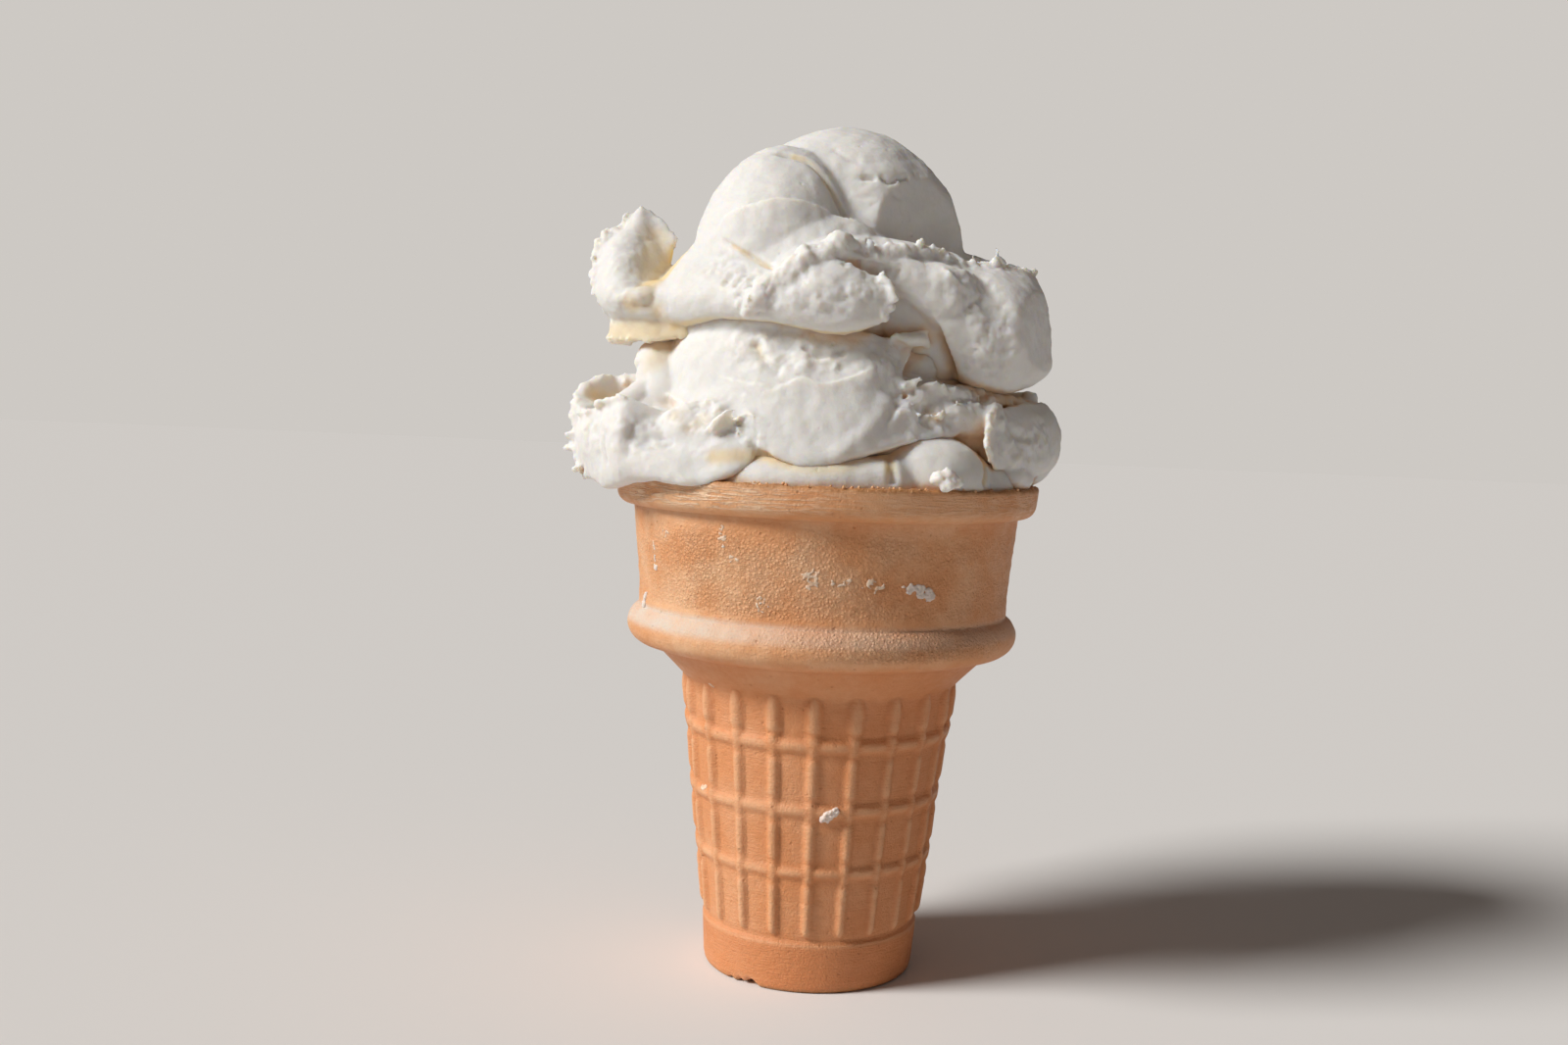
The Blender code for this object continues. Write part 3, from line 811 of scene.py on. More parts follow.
# %% Curled leaf
leaf = sheet(
    [[(-32.2, -0.6, 118.6), (-31.6, -1.4, 119.2), (-31, -1.6, 119.5), (-30.4, -1.2, 119.2),
      (-29.8, -0.6, 118.6)],
     [(-33.6, -2, 116.2), (-32.4, -4, 116.4), (-30.8, -4.2, 116.6), (-29, -2.8, 116.8), (-27, -2.2, 117)],
     [(-36.8, -3.5, 112.6), (-34.6, -7.6, 112.4), (-31.4, -8.2, 112.4), (-28.2, -5.2, 112.8),
      (-25, -4.4, 113.4)],
     [(-37.4, -5, 108.6), (-35.2, -10, 108.4), (-31.8, -11.6, 108.4), (-28.4, -8.6, 108.8),
      (-25.8, -5.6, 109.4)],
     [(-37.4, -6.5, 105), (-34.8, -12, 104.8), (-31.6, -14.6, 104.6), (-28.6, -13.6, 104.8),
      (-26.2, -10.2, 105)],
     [(-36, -6.5, 102.6), (-34, -10.5, 102.2), (-31, -13.4, 101.8), (-28, -15, 101.8), (-25, -15.4, 102)],
     [(-33, -5, 100.8), (-31.4, -8.5, 100.4), (-29, -11, 100.2), (-26.4, -12.6, 100.2), (-24, -13, 100.4)]],
    thick=2.6, rag=0.5, seed=7)
ledge = [(-33.5, -11.5, 104.2), (-31, -13.8, 104.2), (-28, -14.4, 104.4), (-25.5, -13, 105)]
# the flake is a flat ribbon, upright at its front
front = [(-34.6, -1.5), (-34.2, -7.6), (-29.6, -12.8), (-25, -14.6), (-20.6, -15.6)]
ribbon = sheet([[(x, y, height + 0.05 * (x + 30)) for x, y in front]
                for height in (101.2, 99.8, 98.6, 97.7)], thick=3.0, rag=0.7, seed=9)
left_edge = [(-32.6, -1.2, 118.2), (-33.8, -2, 115.8), (-36.6, -3.4, 113.6), (-37.4, -4, 111.6),
             (-37.6, -5, 108.4), (-37.2, -6, 105)]
right_edge = [(-30.8, -1.4, 119.6), (-28.8, -1.2, 117.8), (-26.6, -2.2, 115.8), (-25, -3.8, 113.8)]
upper_pieces += [
    leaf, ribbon, roll([(x, y, z, 1.3) for x, y, z in ledge]), lump((-31.5, -3.5, 105.5), (5.6, 7, 5.4)),
    lump((-30, -4, 109.5), (4, 3.4, 4.6)), lump((-35.6, -3.6, 107.5), (2.6, 3.4, 4)),
    lump((-36.2, -3.2, 112.4), (1.7, 1.8, 1.6)),
    roll([(-32, -8.5, 103.6, 3), (-27.5, -11, 103.6, 3.4), (-22.5, -14, 103.6, 3.6)]),
    knobs(left_edge, count=64, sizes=(0.3, 0.95), spread=0.35, seed=50),
    knobs(right_edge, count=30, sizes=(0.2, 0.45), spread=0.15, seed=51),
    knobs([(-34.6, -4, 99.8), (-34.4, -8, 98.2), (-31, -11.8, 97.8)], count=14, sizes=(0.2, 0.5),
          spread=0.25, seed=52)]
print("with the curled leaf, the upper scoop has", len(upper_pieces), "pieces")

# %% [markdown]
# ## Upper scoop: torn crests
# Where the disher broke away, the edge stands up as a crest of torn knobs. The crest's line
# is kept as a list of places, because the knobs are scattered along it now and the skin is
# roughened along it later.

# %% Torn crests
CREST = [(-12.4, -25, 103.6), (-10.4, -25.6, 105.4), (-7.6, -26, 107.8), (-5.4, -26, 109.8),
         (-2.6, -25.4, 111.4), (0.6, -24.4, 112.6), (4.5, -22.6, 112.4), (8.5, -20.6, 112.6),
         (12.6, -18, 113.2), (16.5, -15.6, 112.4), (20, -13, 111.4)]
RIGHT_CREST = [(20, -13.5, 111), (22, -12.5, 111.6), (23.9, -12, 111.8), (26, -9.6, 111.2),
               (28.5, -7, 111.4), (30.6, -4, 111)]

# a spike stands up where the two crests meet
spike = [(23.6, -12.1, 111.8), (24, -12, 112.6), (23.9, -11.8, 113.3)]
low = [(x, y + 0.7, z - 1.4) for x, y, z in CREST]
upper_pieces += [
    torn(low[:6], radius=1.7, jitter=0.7, seed=3), torn(low[5:], radius=1.3, jitter=0.6, seed=13),
    knobs([(x, y + 0.3, z - 0.7) for x, y, z in CREST[:6]], count=60, sizes=(0.4, 1.3), spread=0.6,
          seed=34),
    knobs([(x, y + 0.3, z - 0.5) for x, y, z in CREST[5:]], count=60, sizes=(0.3, 0.8), spread=0.5,
          seed=44),
    roll([(4, -19, 110.8, 1.6), (9, -18.2, 111, 1.8), (13, -16, 111.4, 1.8), (17, -13.4, 111, 1.8)]),
    knobs([(x, y + 0.2, z - 0.3) for x, y, z in RIGHT_CREST], count=70, sizes=(0.25, 0.65), spread=0.4,
          seed=46),
    knobs(spike, count=6, sizes=(0.3, 0.5), spread=0.1, seed=35)]
print("with the crests, the upper scoop has", len(upper_pieces), "pieces")

# %% [markdown]
# ## Upper scoop: the back
# The back is made in the same way as the front: a smooth sweep on one side, a heavy tongue
# on the other, and a torn crest where they meet. Lumps stand behind the sheets, so no
# hollow is left between them.

# %% Back of the upper scoop
# degrees, radius, height
BACK_EDGE = ((-26, 22, 110.4), (-12, 22.4, 110.6), (0, 23, 112), (12, 24, 112.8), (26, 26.4, 112.6),
             (40, 26.6, 113.8), (54, 27.6, 112.6), (68, 28.4, 112.4), (80, 28, 111.2))
BACK_SKIRT = [(30, 3, 103, 5.6), (26, 14, 102, 6.2), (16, 23, 103.5, 6), (4, 26, 104, 6.4),
              (-10, 25, 104.5, 5.8), (-22, 17, 105, 6.2), (-29, 8, 105, 6), (-31, 0, 105, 5)]

inner = [(x * 0.92, y * 0.92, z - 0.5, r * 0.8) for x, y, z, r in BACK_SKIRT[:5]] + BACK_SKIRT[5:]
sweep = skirt([(-88, 0, 0), (-70, 0.4, 0.6), (-52, 1, 1), (-34, 1.6, -0.2), (-16, 0.6, -1.2),
               (2, -0.6, -0.4), (18, -2.5, 1.4)],
              [(16.5, 118), (21.5, 112.4), (26.8, 107.2), (31.4, 103.6), (32.6, 101.2), (30.4, 99.6),
               (21, 100)],
              thick=3.4, rag=0.5, seed=83)
tongue = skirt([(6, -6, 5), (20, -1.6, 1.6), (36, 0.8, -0.8), (52, 0.2, 0.2), (66, -0.4, 0.6),
                (80, -0.8, 0.9), (92, -2.4, 0.6)],
               [(19, 114), (25.5, 112.6), (30.6, 109.6), (33.2, 104), (33.6, 98.6), (31.6, 94.8),
                (28, 93.6), (23.5, 95.5)],
               thick=4.0, rag=0.4, seed=84)
crest = [round_back(*spot) for spot in BACK_EDGE]
left = [round_back(-88, 32, 108.8), round_back(-74, 31, 110.2), round_back(-58, 29.6, 110.6),
        round_back(-42, 28, 108.8)]
behind = [lump((6.5, 8.5, 107), (15, 13, 16), turn=(0, 14, 30)),
          lump((16, 17, 102.5), (9, 8, 7.5), turn=(0, 0, -40)),
          lump((-9, 9, 106), (12.5, 12, 13.5), turn=(0, -10, -24))]
side = [(*round_back(80, 24.5, 108.6), 4.4), (*round_back(81, 28.4, 105), 4.8),
        (*round_back(82, 28.8, 101), 4.8), (*round_back(82, 27.4, 98), 4.2)]
shoulder = roll([(*round_back(-24, 18.5, 108), 4), (*round_back(10, 19.5, 109), 4.2),
                 (*round_back(45, 20.5, 108.5), 5), (*round_back(80, 22, 107.5), 5)])
upper_pieces += [roll(inner), roll(side), sweep, tongue, torn(crest, radius=1.3, jitter=0.8, seed=10),
                 knobs(crest, count=60, sizes=(0.3, 1.1), spread=0.5, seed=11), shoulder,
                 knobs(left, count=40, sizes=(0.3, 1.1), spread=0.6, seed=82),
                 torn(left, radius=1.2, jitter=0.7, seed=81)] + behind
print("with the back, the upper scoop has", len(upper_pieces), "pieces")

# %% [markdown]
# ## Upper scoop: creases
# Now the pieces are melted into one skin, and the finest shapes follow. They are the step
# where one layer ends, the crease between the fold and the dome, the wrinkles on the dome
# and the torn fibres under the crest.

# %% Creases of the upper scoop
upper_ice_cream = drop_loose(melt("upper_ice_cream", upper_pieces))
scoop = upper_ice_cream          # the next cells work on this one

# start, height, length, dip
WRINKLES = ((1.2, 123.4, 4.8, 0.5), (2.6, 122.1, 2.6, 0.7), (2.2, 120.4, 4.4, 0.15), (4.4, 119, 2, 0.5),
            (4, 116.6, 2.2, -0.2), (9, 121.6, 3.6, -0.4))
FIBRES = ((1.5, -25.6, 110.6, 3.2), (3.4, -25, 110.2, 3.6), (5.2, -24.4, 110, 3), (7, -23.4, 109.6, 3.4),
          (9, -22.6, 109.2, 2.4), (-11.4, -23, 107.6, 2.6), (-13, -22.4, 107.4, 3),
          (-14.6, -21.4, 107.2, 2.4), (-10.2, -24, 105.4, 2.8))
BACK_CREASES = ([(16, 8, 125), (12, 14, 121), (11, 17, 117)],
                [(2, 18, 127), (-2, 20, 122), (-3, 21, 117)],
                [(20, 2, 118), (19, 7, 114), (20, 10, 110)],
                [(30, 12, 104), (27, 18, 102.5), (24, 22, 100)],
                [(2, 33, 106), (-3, 32, 103), (-5, 31, 100)],
                [(-20, 24, 107), (-22, 24, 103), (-21, 24, 100)])

layer = [(-17.5, -15.5, 115.3), (-12.5, -18, 117.2), (-8, -19, 118.4), (-1, -18.5, 118), (3, -17.5, 116.5),
         (7.5, -16.5, 113.8)]
stroke(scoop, layer, rise=0.9, width=5.0, side=1, sharp=0.15)
stroke(scoop, [(-17, -17.5, 113), (-13, -20.5, 110.5), (-9, -22.5, 108), (-8, -23, 107)], rise=-0.6,
       width=0.4)
stroke(scoop, [(-11, -12, 126), (-3.5, -14, 125), (0.9, -15, 118.1), (5, -16, 114.8), (7.3, -15.5, 113.5)],
       rise=-0.95, width=0.5)
# wrinkles and a crack on the back of the dome
stroke(scoop, [(-1.5, -9, 129), (0.5, -11, 127.5), (3.5, -12, 126.5)], rise=-0.25, width=0.5)
for points in ([(3.2, -14, 123.7), (4.4, -14, 124.5), (6.0, -13.4, 124.3)],
               [(6.4, -13, 125.0), (8.0, -13, 123.8), (9.6, -12, 124.6)],
               [(9.2, -12.4, 124.2), (10.6, -11.6, 125.0), (12.4, -10.5, 124.8)]):
    stroke(scoop, points, rise=-0.6, width=0.42)
for x, z, length, dip in WRINKLES:
    stroke(scoop, [(x, -13, z), (x + 0.5 * length, -13.4, z + dip), (x + length, -13, z + 2.4 * dip)],
           rise=-0.17, width=0.36, fade=0.4)
# torn fibres under the crest and on the flank beside it
for x, y, z, length in FIBRES:
    stroke(scoop, [(x, y, z), (x - 0.3, y, z - 0.5 * length), (x - 0.9, y, z - length)], rise=-0.32,
           width=0.5)
# the back: an edge where one layer ends, and a few long creases
stroke(scoop, [(19, 6, 112), (14, 16, 116), (6, 21, 119), (-3, 20, 118), (-10, 18, 114)], rise=0.9,
       width=5.0, side=-1, sharp=0.15)
for points in BACK_CREASES:
    stroke(scoop, points, rise=-0.45, width=0.5)

print("wrinkles:", len(WRINKLES), "fibres:", len(FIBRES), "creases at the back:", len(BACK_CREASES))

# %% [markdown]
# ## Upper scoop: rough and smooth skin
# Torn places are rough and smeared places nearly smooth. A mask round each torn line lets
# the noise in, and a faint noise in three sizes goes over everything, because even the
# smooth skin of ice cream isn't polished.

# %% Skin of the upper scoop
# each line, its reach, and its coats: size, rise, seed and kind
UPPER_BACK_ROUGH = (
    ([round_back(52, 33, 106), round_back(40, 33.5, 99)], 9, ((4.6, 0.9, 90, "soft"),)),
    ([round_back(60, 33, 106), round_back(40, 33.5, 99)], 8, ((1.8, 0.25, 91, "soft"),)))
UPPER_ROUGH = (
    # the front of the tongue, the flake's face, the flank and the leaf
    ([(19, -20, 108), (22, -20, 103), (23, -19, 97)], 6,
     ((2, 0.2, 3, "pits"), (1.3, 0.24, 5, "crumbs"), (5, 0.7, 25, "soft"))),
    ([(-8, -27, 104.5), (0, -28, 104.5), (6, -27, 104.5)], 5,
     ((3.2, 0.5, 26, "soft"), (1, 0.12, 27, "soft"))),
    ([(-17, -20, 109), (-13, -23, 106.5), (-12, -24.5, 103.5)], 3.6, ((1.4, 0.35, 28, "crumbs"),)),
    ([(-31, -7, 114), (-33, -10, 109), (-32, -13, 105)], 4.6, ((2, 0.25, 29, "soft"),)))

edges = near_mask(scoop, CREST, reach=3.0)
edges = np.maximum(edges, 0.8 * near_mask(scoop, [round_back(*spot) for spot in BACK_EDGE], reach=3.0))
roughen_places(scoop, UPPER_BACK_ROUGH)
edges = np.maximum(edges, near_mask(scoop, RIGHT_CREST, reach=2.6))
edges = np.maximum(edges, near_mask(scoop, [(-33, -2, 117), (-37, -3.5, 112), (-38, -6, 105)], reach=2.6))
roughen(scoop, edges, size=1.5, rise=0.45, seed=2, kind="crumbs")
# flat right face of the tongue
press(scoop, place=(31, -12, 101), normal=(0.88, -0.46, 0.06), reach=11.0, share=0.7)
roughen_places(scoop, UPPER_ROUGH)
roughen_all_over(scoop, seeds=(4, 14, 15))

print("the upper scoop has", triangle_count(scoop), "triangles before thinning")
thin_out(scoop)

# %% [markdown]
# ## Lower scoop: the slab
# The lower scoop was pressed into the cup first. Its front is one broad smooth slab, which
# ends in a thin lip over the filling. The body under it is a flat lump.

# %% Body and slab
slab = sheet(
    [[(-25, -6, 100.2), (-18, -17, 101.4), (-9, -21.6, 101.6), (-1, -22.4, 100.8), (6, -21, 99.8),
      (12, -18, 98.8)],
     [(-28.4, -6, 96.4), (-19.8, -18.4, 97.4), (-10, -23.6, 97.4), (-1.5, -25, 96.2), (5.5, -24, 96),
      (11, -20.6, 96)],
     [(-28, -9, 92.2), (-19.5, -20.4, 92), (-10, -25.4, 92), (-2, -27, 92), (4.5, -26.4, 92),
      (10.2, -23, 92.6)],
     [(-24, -17.5, 89.8), (-16.5, -24.2, 88.6), (-9.5, -27.2, 88), (-2.5, -28.4, 88), (4.5, -28, 88),
      (10.6, -24.4, 88.6)],
     [(-18.5, -24, 87.6), (-12.6, -27.2, 85.6), (-8, -28.8, 84.6), (-2.5, -29.6, 84.2), (4, -29.2, 84.6),
      (11.5, -25.6, 85.8)],
     [(-13.2, -26.6, 85.4), (-10.4, -28.2, 83.4), (-6.8, -29.6, 81.2), (-2.2, -30.4, 80.2),
      (4, -29.6, 81.9), (12.5, -25.6, 84.6)],
     [(-12.5, -22, 85), (-9.5, -23, 83), (-6, -24, 80.8), (-2, -24.5, 79.8), (4, -24, 81.4),
      (11, -21.5, 84.2)]],
    thick=3.0)
lower_pieces = [
    slab, lump((0, 1, 90), (27, 24, 10.5)), lump((-4, -8, 91), (18, 15.5, 8.6)),
    roll([(-22, -12, 100, 2.2), (-16, -17.6, 100.8, 2.4), (-9, -20.8, 101, 2.4), (-1, -21.6, 100.4, 2.2)]),
    lump((-22.5, -4, 95.5), (7.2, 8, 4.8)), lump((-25, -5, 91.4), (5, 7, 3.8)),
    roll([(-25.4, -7, 99.4, 2.6), (-25.6, -9, 96.4, 3.4), (-25.8, -10.4, 92.8, 3.8),
          (-24.4, -12.4, 89.2, 4.2)]),
    lump((12.6, -13.6, 95.6), (4.8, 4.8, 3.8)), lump((11.2, -20.2, 99.2), (2.6, 2.2, 1), turn=(0, 4, 0)),
    knobs([(8, -21.5, 99.4), (12.6, -19.6, 99.6), (13.6, -19, 98.6)], count=16, sizes=(0.3, 0.7),
          spread=0.3, seed=62),
    knobs([(-27.4, -10.6, 97.6), (-28.6, -10.6, 95.4), (-29, -11.4, 92.6)], count=26, sizes=(0.4, 1),
          spread=0.4, seed=63)]
print("with the body and the slab, the lower scoop has", len(lower_pieces), "pieces")

# %% [markdown]
# ## Lower scoop: the curl on the left
# On the left the ice cream was squeezed out over the rim and curled up. A flake stands
# behind the curl and leaves a warm hollow between them, and a crumbly ridge runs down to
# the slab.

# %% Left curl
LEFT_CREST = [(-39.4, -6.6, 88.6), (-38.4, -4.4, 90.6), (-35.4, -1.6, 92.2), (-32.2, -0.6, 92.2),
              (-30, -1, 92.8), (-27.4, -2.4, 93.4)]
LEFT_FACE = [(-38.6, -7, 86), (-39.2, -8, 82.5), (-38, -9, 79), (-35.5, -11, 76.8)]

skin = sheet(
    [[(-38.4, -7.5, 87.4), (-36.4, -13.6, 87.4), (-33.2, -17.3, 88.4), (-29.8, -21, 89.2),
      (-26.4, -21.2, 88.2), (-23.2, -21.2, 87.2), (-20, -23, 87), (-15.5, -25.6, 86.4), (-11.8, -27, 84.6)],
     [(-39.6, -7, 84), (-37.6, -14.2, 84), (-34.2, -18.4, 84.2), (-30.6, -23.6, 84.8), (-27.2, -23.2, 84.4),
      (-22.8, -23, 84), (-19.5, -25.2, 84.4), (-15, -27.8, 83.6), (-11, -28.6, 82.4)],
     [(-39, -7, 80), (-37, -13.8, 80), (-33.8, -18.4, 80), (-30.4, -23.4, 80.6), (-26.8, -25.2, 81),
      (-22.4, -26.4, 81.2), (-18.5, -27.6, 81.2), (-14.5, -28.6, 81.2), (-10.4, -28.8, 81.4)],
     [(-36, -7, 76.8), (-35, -12.5, 76.2), (-32.8, -17, 75.6), (-29.8, -21.2, 76.6), (-26, -24.9, 77.4),
      (-22, -27.2, 77.2), (-18, -28.6, 77.2), (-14.5, -29.2, 78.2), (-11, -28.4, 80)],
     [(-31, -6, 76.5), (-30.5, -10.5, 76.5), (-28.5, -14.5, 76.6), (-26, -17.5, 77.4), (-23, -20, 77.6),
      (-19.5, -22, 77.4), (-16, -23.5, 77.8), (-13.5, -23.5, 78.8), (-11.5, -23, 80)]],
    thick=5.0)
crumbly = [(-22.6, -23.4, 86.6), (-20.4, -24.4, 87.6), (-18, -24.6, 88.4), (-15.4, -25.6, 86.6)]
lower_pieces += [
    skin,
    roll([(-34.5, -13.5, 86.6, 1.6), (-31, -14.5, 88, 2), (-27.8, -12.5, 89.8, 2.4),
          (-26.8, -9, 91.6, 2.8)]),
    roll([(-20, -22, 84, 4), (-16, -23.8, 82.4, 3.6), (-12, -24.6, 81.4, 3.2), (-8, -25, 81.2, 3)]),
    roll([(-33, 4, 82.5, 6.4), (-33.2, -4, 82.5, 6.2), (-30, -12, 82.5, 5.6), (-24, -18, 83, 5),
          (-16, -22, 83, 4)]),
    lump((-12.6, -24.4, 86.2), (2.8, 2.4, 2.4)), lump((-11.5, -21.5, 83), (5, 5, 3)),
    lump((-10.8, -25.6, 82.6), (3.2, 2.8, 2.4)), lump((-15.5, -21.8, 86.6), (5, 4.4, 3.4)),
    lump((7, -20, 83.4), (6.5, 5.4, 3)), lump((-31.5, -6.5, 85.6), (5.6, 6.6, 2.6)),
    lump((-26.5, -9.5, 87.6), (6, 7, 3)),
    flake([(-38, -7, 86), (-36.6, -2.5, 86.5), (-33, 0.5, 87), (-29, -0.5, 87.5), (-25, -2, 88.5)],
          [(-39, -7.4, 88.2), (-37.8, -3.8, 90.6), (-35.4, -1.6, 92), (-32.2, -0.6, 92.3), (-30, -1, 92.9),
           (-26.8, -3, 93.2)],
          thick=2.4, thin=0.8, rag=0.8, seed=21),
    knobs(LEFT_CREST, count=64, sizes=(0.3, 0.95), spread=0.3, seed=22),
    knobs([(-39, -7, 87.4), (-39.8, -7, 87.8), (-40, -7, 88.2)], count=8, sizes=(0.3, 0.6), spread=0.2,
          seed=38),
    knobs(LEFT_FACE, count=40, sizes=(0.5, 1.3), spread=0.5, seed=23),
    knobs([(-38.4, -12, 86.4), (-36, -15.6, 87.4), (-33, -18.4, 88.4), (-30, -21.4, 89.2)], count=34,
          sizes=(0.3, 0.8), spread=0.2, seed=64),
    roll([(x, y + 1.6, z - 0.8, 1.9) for x, y, z in crumbly]),
    knobs(crumbly, count=10, sizes=(0.3, 0.6), spread=0.4, seed=65),
    knobs([(-15.5, -26.4, 86.2), (-13, -27.6, 85), (-11, -28.4, 83.2)], count=12, sizes=(0.25, 0.6),
          spread=0.3, seed=66)]
print("with the curl, the lower scoop has", len(lower_pieces), "pieces")

# %% [markdown]
# ## Lower scoop: the torn wall
# Right of the slab the ice cream tore away and left a rough wall, with a thin shelf under
# the upper scoop's tongue.

# %% Torn wall and shelf
wall = sheet(
    [[(11.2, -22.6, 92), (12.6, -23, 92.8), (14.2, -22.6, 92.6), (16, -21.4, 92), (18.4, -19.6, 91.2)],
     [(10.6, -24.4, 90.4), (12.4, -24, 90.6), (14.2, -23, 90.4), (16.4, -21.4, 90), (18.8, -19.6, 89.4)],
     [(9.4, -26.2, 88), (11.6, -24.9, 87.8), (14, -23.2, 87.8), (16.4, -21.6, 88), (19, -20, 88)],
     [(8, -27.4, 85.8), (10.8, -26.2, 85), (13.6, -25, 84.8), (16, -23.6, 85.2), (18.8, -21.6, 85.8)]],
    thick=2.0, rag=0.6, seed=24)
shelf = sheet(
    [[(15, -19, 93), (19, -16.6, 93.2), (22.4, -14.6, 92.4), (27, -9, 92), (31, -4, 91.6)],
     [(15.5, -21.4, 91.8), (19.4, -19.2, 91.8), (22.8, -15.6, 91.2), (28, -9.6, 90.8), (32, -4, 90.4)],
     [(16, -21.4, 89.6), (19.6, -19.4, 89.4), (21.8, -15.6, 89), (26, -9, 89), (30, -4, 89)],
     [(17, -18.4, 87.2), (19.6, -17.2, 86.8), (20.8, -14, 86.4), (24, -8, 86.4), (28, -4, 87)]],
    thick=3.0, rag=0.7, seed=25)
lower_pieces += [
    wall, shelf, lump((20, -14, 86.4), (5, 5.4, 4.4)), lump((14.5, -17.6, 89.4), (6, 4.6, 4)),
    lump((10.4, -19.6, 91.4), (2.6, 3.2, 2.4)),
    roll([(17.2, -19.2, 88.2, 3.1), (20.6, -18, 87.9, 3), (23.4, -17, 87.6, 2.8)]),
    knobs([(18.6, -21.6, 90.2), (20.6, -20.6, 90.2), (22.6, -19.6, 89.8)], count=12, sizes=(0.25, 0.55),
          spread=0.3, seed=73),
    knobs([(10.8, -23.2, 92.2), (12.4, -23.4, 93.2), (14.4, -23, 93), (17, -21.4, 92.2)], count=26,
          sizes=(0.25, 0.6), spread=0.25, seed=37),
    knobs([(13.4, -24.4, 88), (14.6, -24.2, 88.4), (16.4, -22.8, 88.6)], count=10, sizes=(0.3, 0.6),
          spread=0.3, seed=67),
    knobs([(16, -21.6, 91.6), (19.6, -19.4, 91.4), (23, -15.8, 90.8), (28, -10, 90.4)], count=50,
          sizes=(0.25, 0.6), spread=0.25, seed=68),
    knobs([(17.6, -21.4, 92.4), (19.4, -20, 91.2), (20.4, -19, 90.2)], count=10, sizes=(0.25, 0.6),
          spread=0.25, seed=69)]
print("with the torn wall, the lower scoop has", len(lower_pieces), "pieces")

# %% [markdown]
# ## Lower scoop: the mass on the right
# A smooth mass bulges over the rim on the right. Along its left edge a torn sheet stands
# forward, thin enough to look brittle.

# %% Right mass
skin = sheet(
    [[(24.2, -16.8, 89.6), (27, -14.2, 90.4), (30.5, -8, 91), (32.6, -4, 91.2), (34, 0, 90.8),
      (32.4, 8.5, 89.6)],
     [(23.6, -18.6, 87.6), (27.6, -16, 88), (31.4, -11, 88.6), (34.6, -5, 88.8), (36, 1, 88.5),
      (34, 9.5, 87.6)],
     [(23.8, -19, 85), (28, -16.4, 85), (32, -11.5, 85.4), (35.6, -5, 85.4), (36.6, 1, 85.4),
      (34.8, 9.5, 84.8)],
     [(24.2, -19, 82.4), (28, -16.6, 82), (31.8, -12, 82), (35, -6, 82.2), (36, 1, 82), (34.2, 9.5, 82)],
     [(25, -16.5, 80.8), (27.6, -15, 80.4), (30.6, -11.5, 80), (33, -6, 79.8), (33.8, 1, 79.6),
      (32.4, 9, 79.8)],
     [(24, -12, 81), (26, -11, 80.6), (28, -8, 80.4), (29.5, -4, 80.2), (29.5, 1, 80), (29.5, 8, 80)]],
    thick=3.4, rag=0.3, seed=26)
fin_foot = [(24.8, -17, 90), (24.4, -18.4, 87.6), (24.4, -18.6, 85), (24.8, -18.6, 82.6),
            (25.6, -17.4, 81.2)]
fin_edge = [(24, -19.6, 90), (23, -22, 88), (22.8, -22.6, 85.4), (23.2, -22.2, 83), (24.4, -19.6, 81)]
lower_pieces += [
    skin, flake(fin_foot, fin_edge, thick=0.7, thin=0.42, rag=1.0, seed=27, bow=(-0.3, 0, 0)),
    knobs(fin_edge, count=30, sizes=(0.25, 0.6), spread=0.35, seed=70), lump((29, -2, 85.2), (6, 9, 5.4)),
    lump((26, -9, 79.6), (5.4, 8, 3.2)), lump((24.6, -15, 84.5), (3, 4, 4))]
print("with the right mass, the lower scoop has", len(lower_pieces), "pieces")

# %% [markdown]
# ## Lower scoop: the back
# Behind, a slab with a lip meets a short curl, and a torn crest runs along the curl's top.

# %% Back of the lower scoop
BACK_ROLL = [(33, 8, 85, 5.4), (28, 17, 84.5, 5), (18, 25, 84.5, 4.8), (5, 28, 84, 4.8), (-9, 28, 84, 4.8),
             (-22, 23, 84.5, 5.2), (-31, 12, 85, 6.2), (-34.5, 3, 83.5, 6.2)]
# degrees, radius, height
LOWER_BACK_EDGE = ((12, 27.5, 90.4), (24, 29.6, 92), (38, 31.6, 92.8), (52, 32, 93), (66, 32.6, 91.8),
                   (80, 32.8, 91.4))

inner = [(x * 0.92, y * 0.92, z, r) for x, y, z, r in BACK_ROLL]
slab = skirt([(-66, -1, 1), (-48, 0.6, -0.2), (-30, 1.4, -1.2), (-12, 0.8, 0.4), (6, -0.4, 0.8),
              (24, -2.2, 2.6)],
             [(19, 99.5), (25.5, 96.5), (30.2, 91.6), (33.6, 87), (35, 83.2), (34.4, 80.2), (30, 79.4),
              (24, 80.5)],
             thick=3.0, rag=0.5, seed=85)
curl = skirt([(14, -4.5, -2), (28, -1.2, 0.4), (42, 0.4, 1.2), (56, 0.2, 0.2), (70, -0.4, -0.6),
              (84, -0.8, -0.8), (96, -2.6, -1)],
             [(28.6, 91.5), (33.2, 91.8), (36.2, 89), (37, 84.8), (36, 80.6), (32.5, 78.4), (27, 79.5)],
             thick=3.2, rag=0.5, seed=86)
crest = [round_back(*spot) for spot in LOWER_BACK_EDGE]
left = [round_back(-64, 30.5, 89.6), round_back(-78, 31.5, 91.2), round_back(-92, 32, 91.6)]
lower_pieces += [roll(inner), slab, curl, torn(crest, radius=1.2, jitter=0.7, seed=87),
                 knobs(crest, count=50, sizes=(0.3, 1), spread=0.5, seed=88),
                 knobs(left, count=40, sizes=(0.3, 1), spread=0.6, seed=89),
                 lump((2, 12, 95), (20, 14, 6), turn=(8, 0, 10)),
                 lump((20, 17, 86.5), (10, 9, 5.4), turn=(0, 0, -40))]
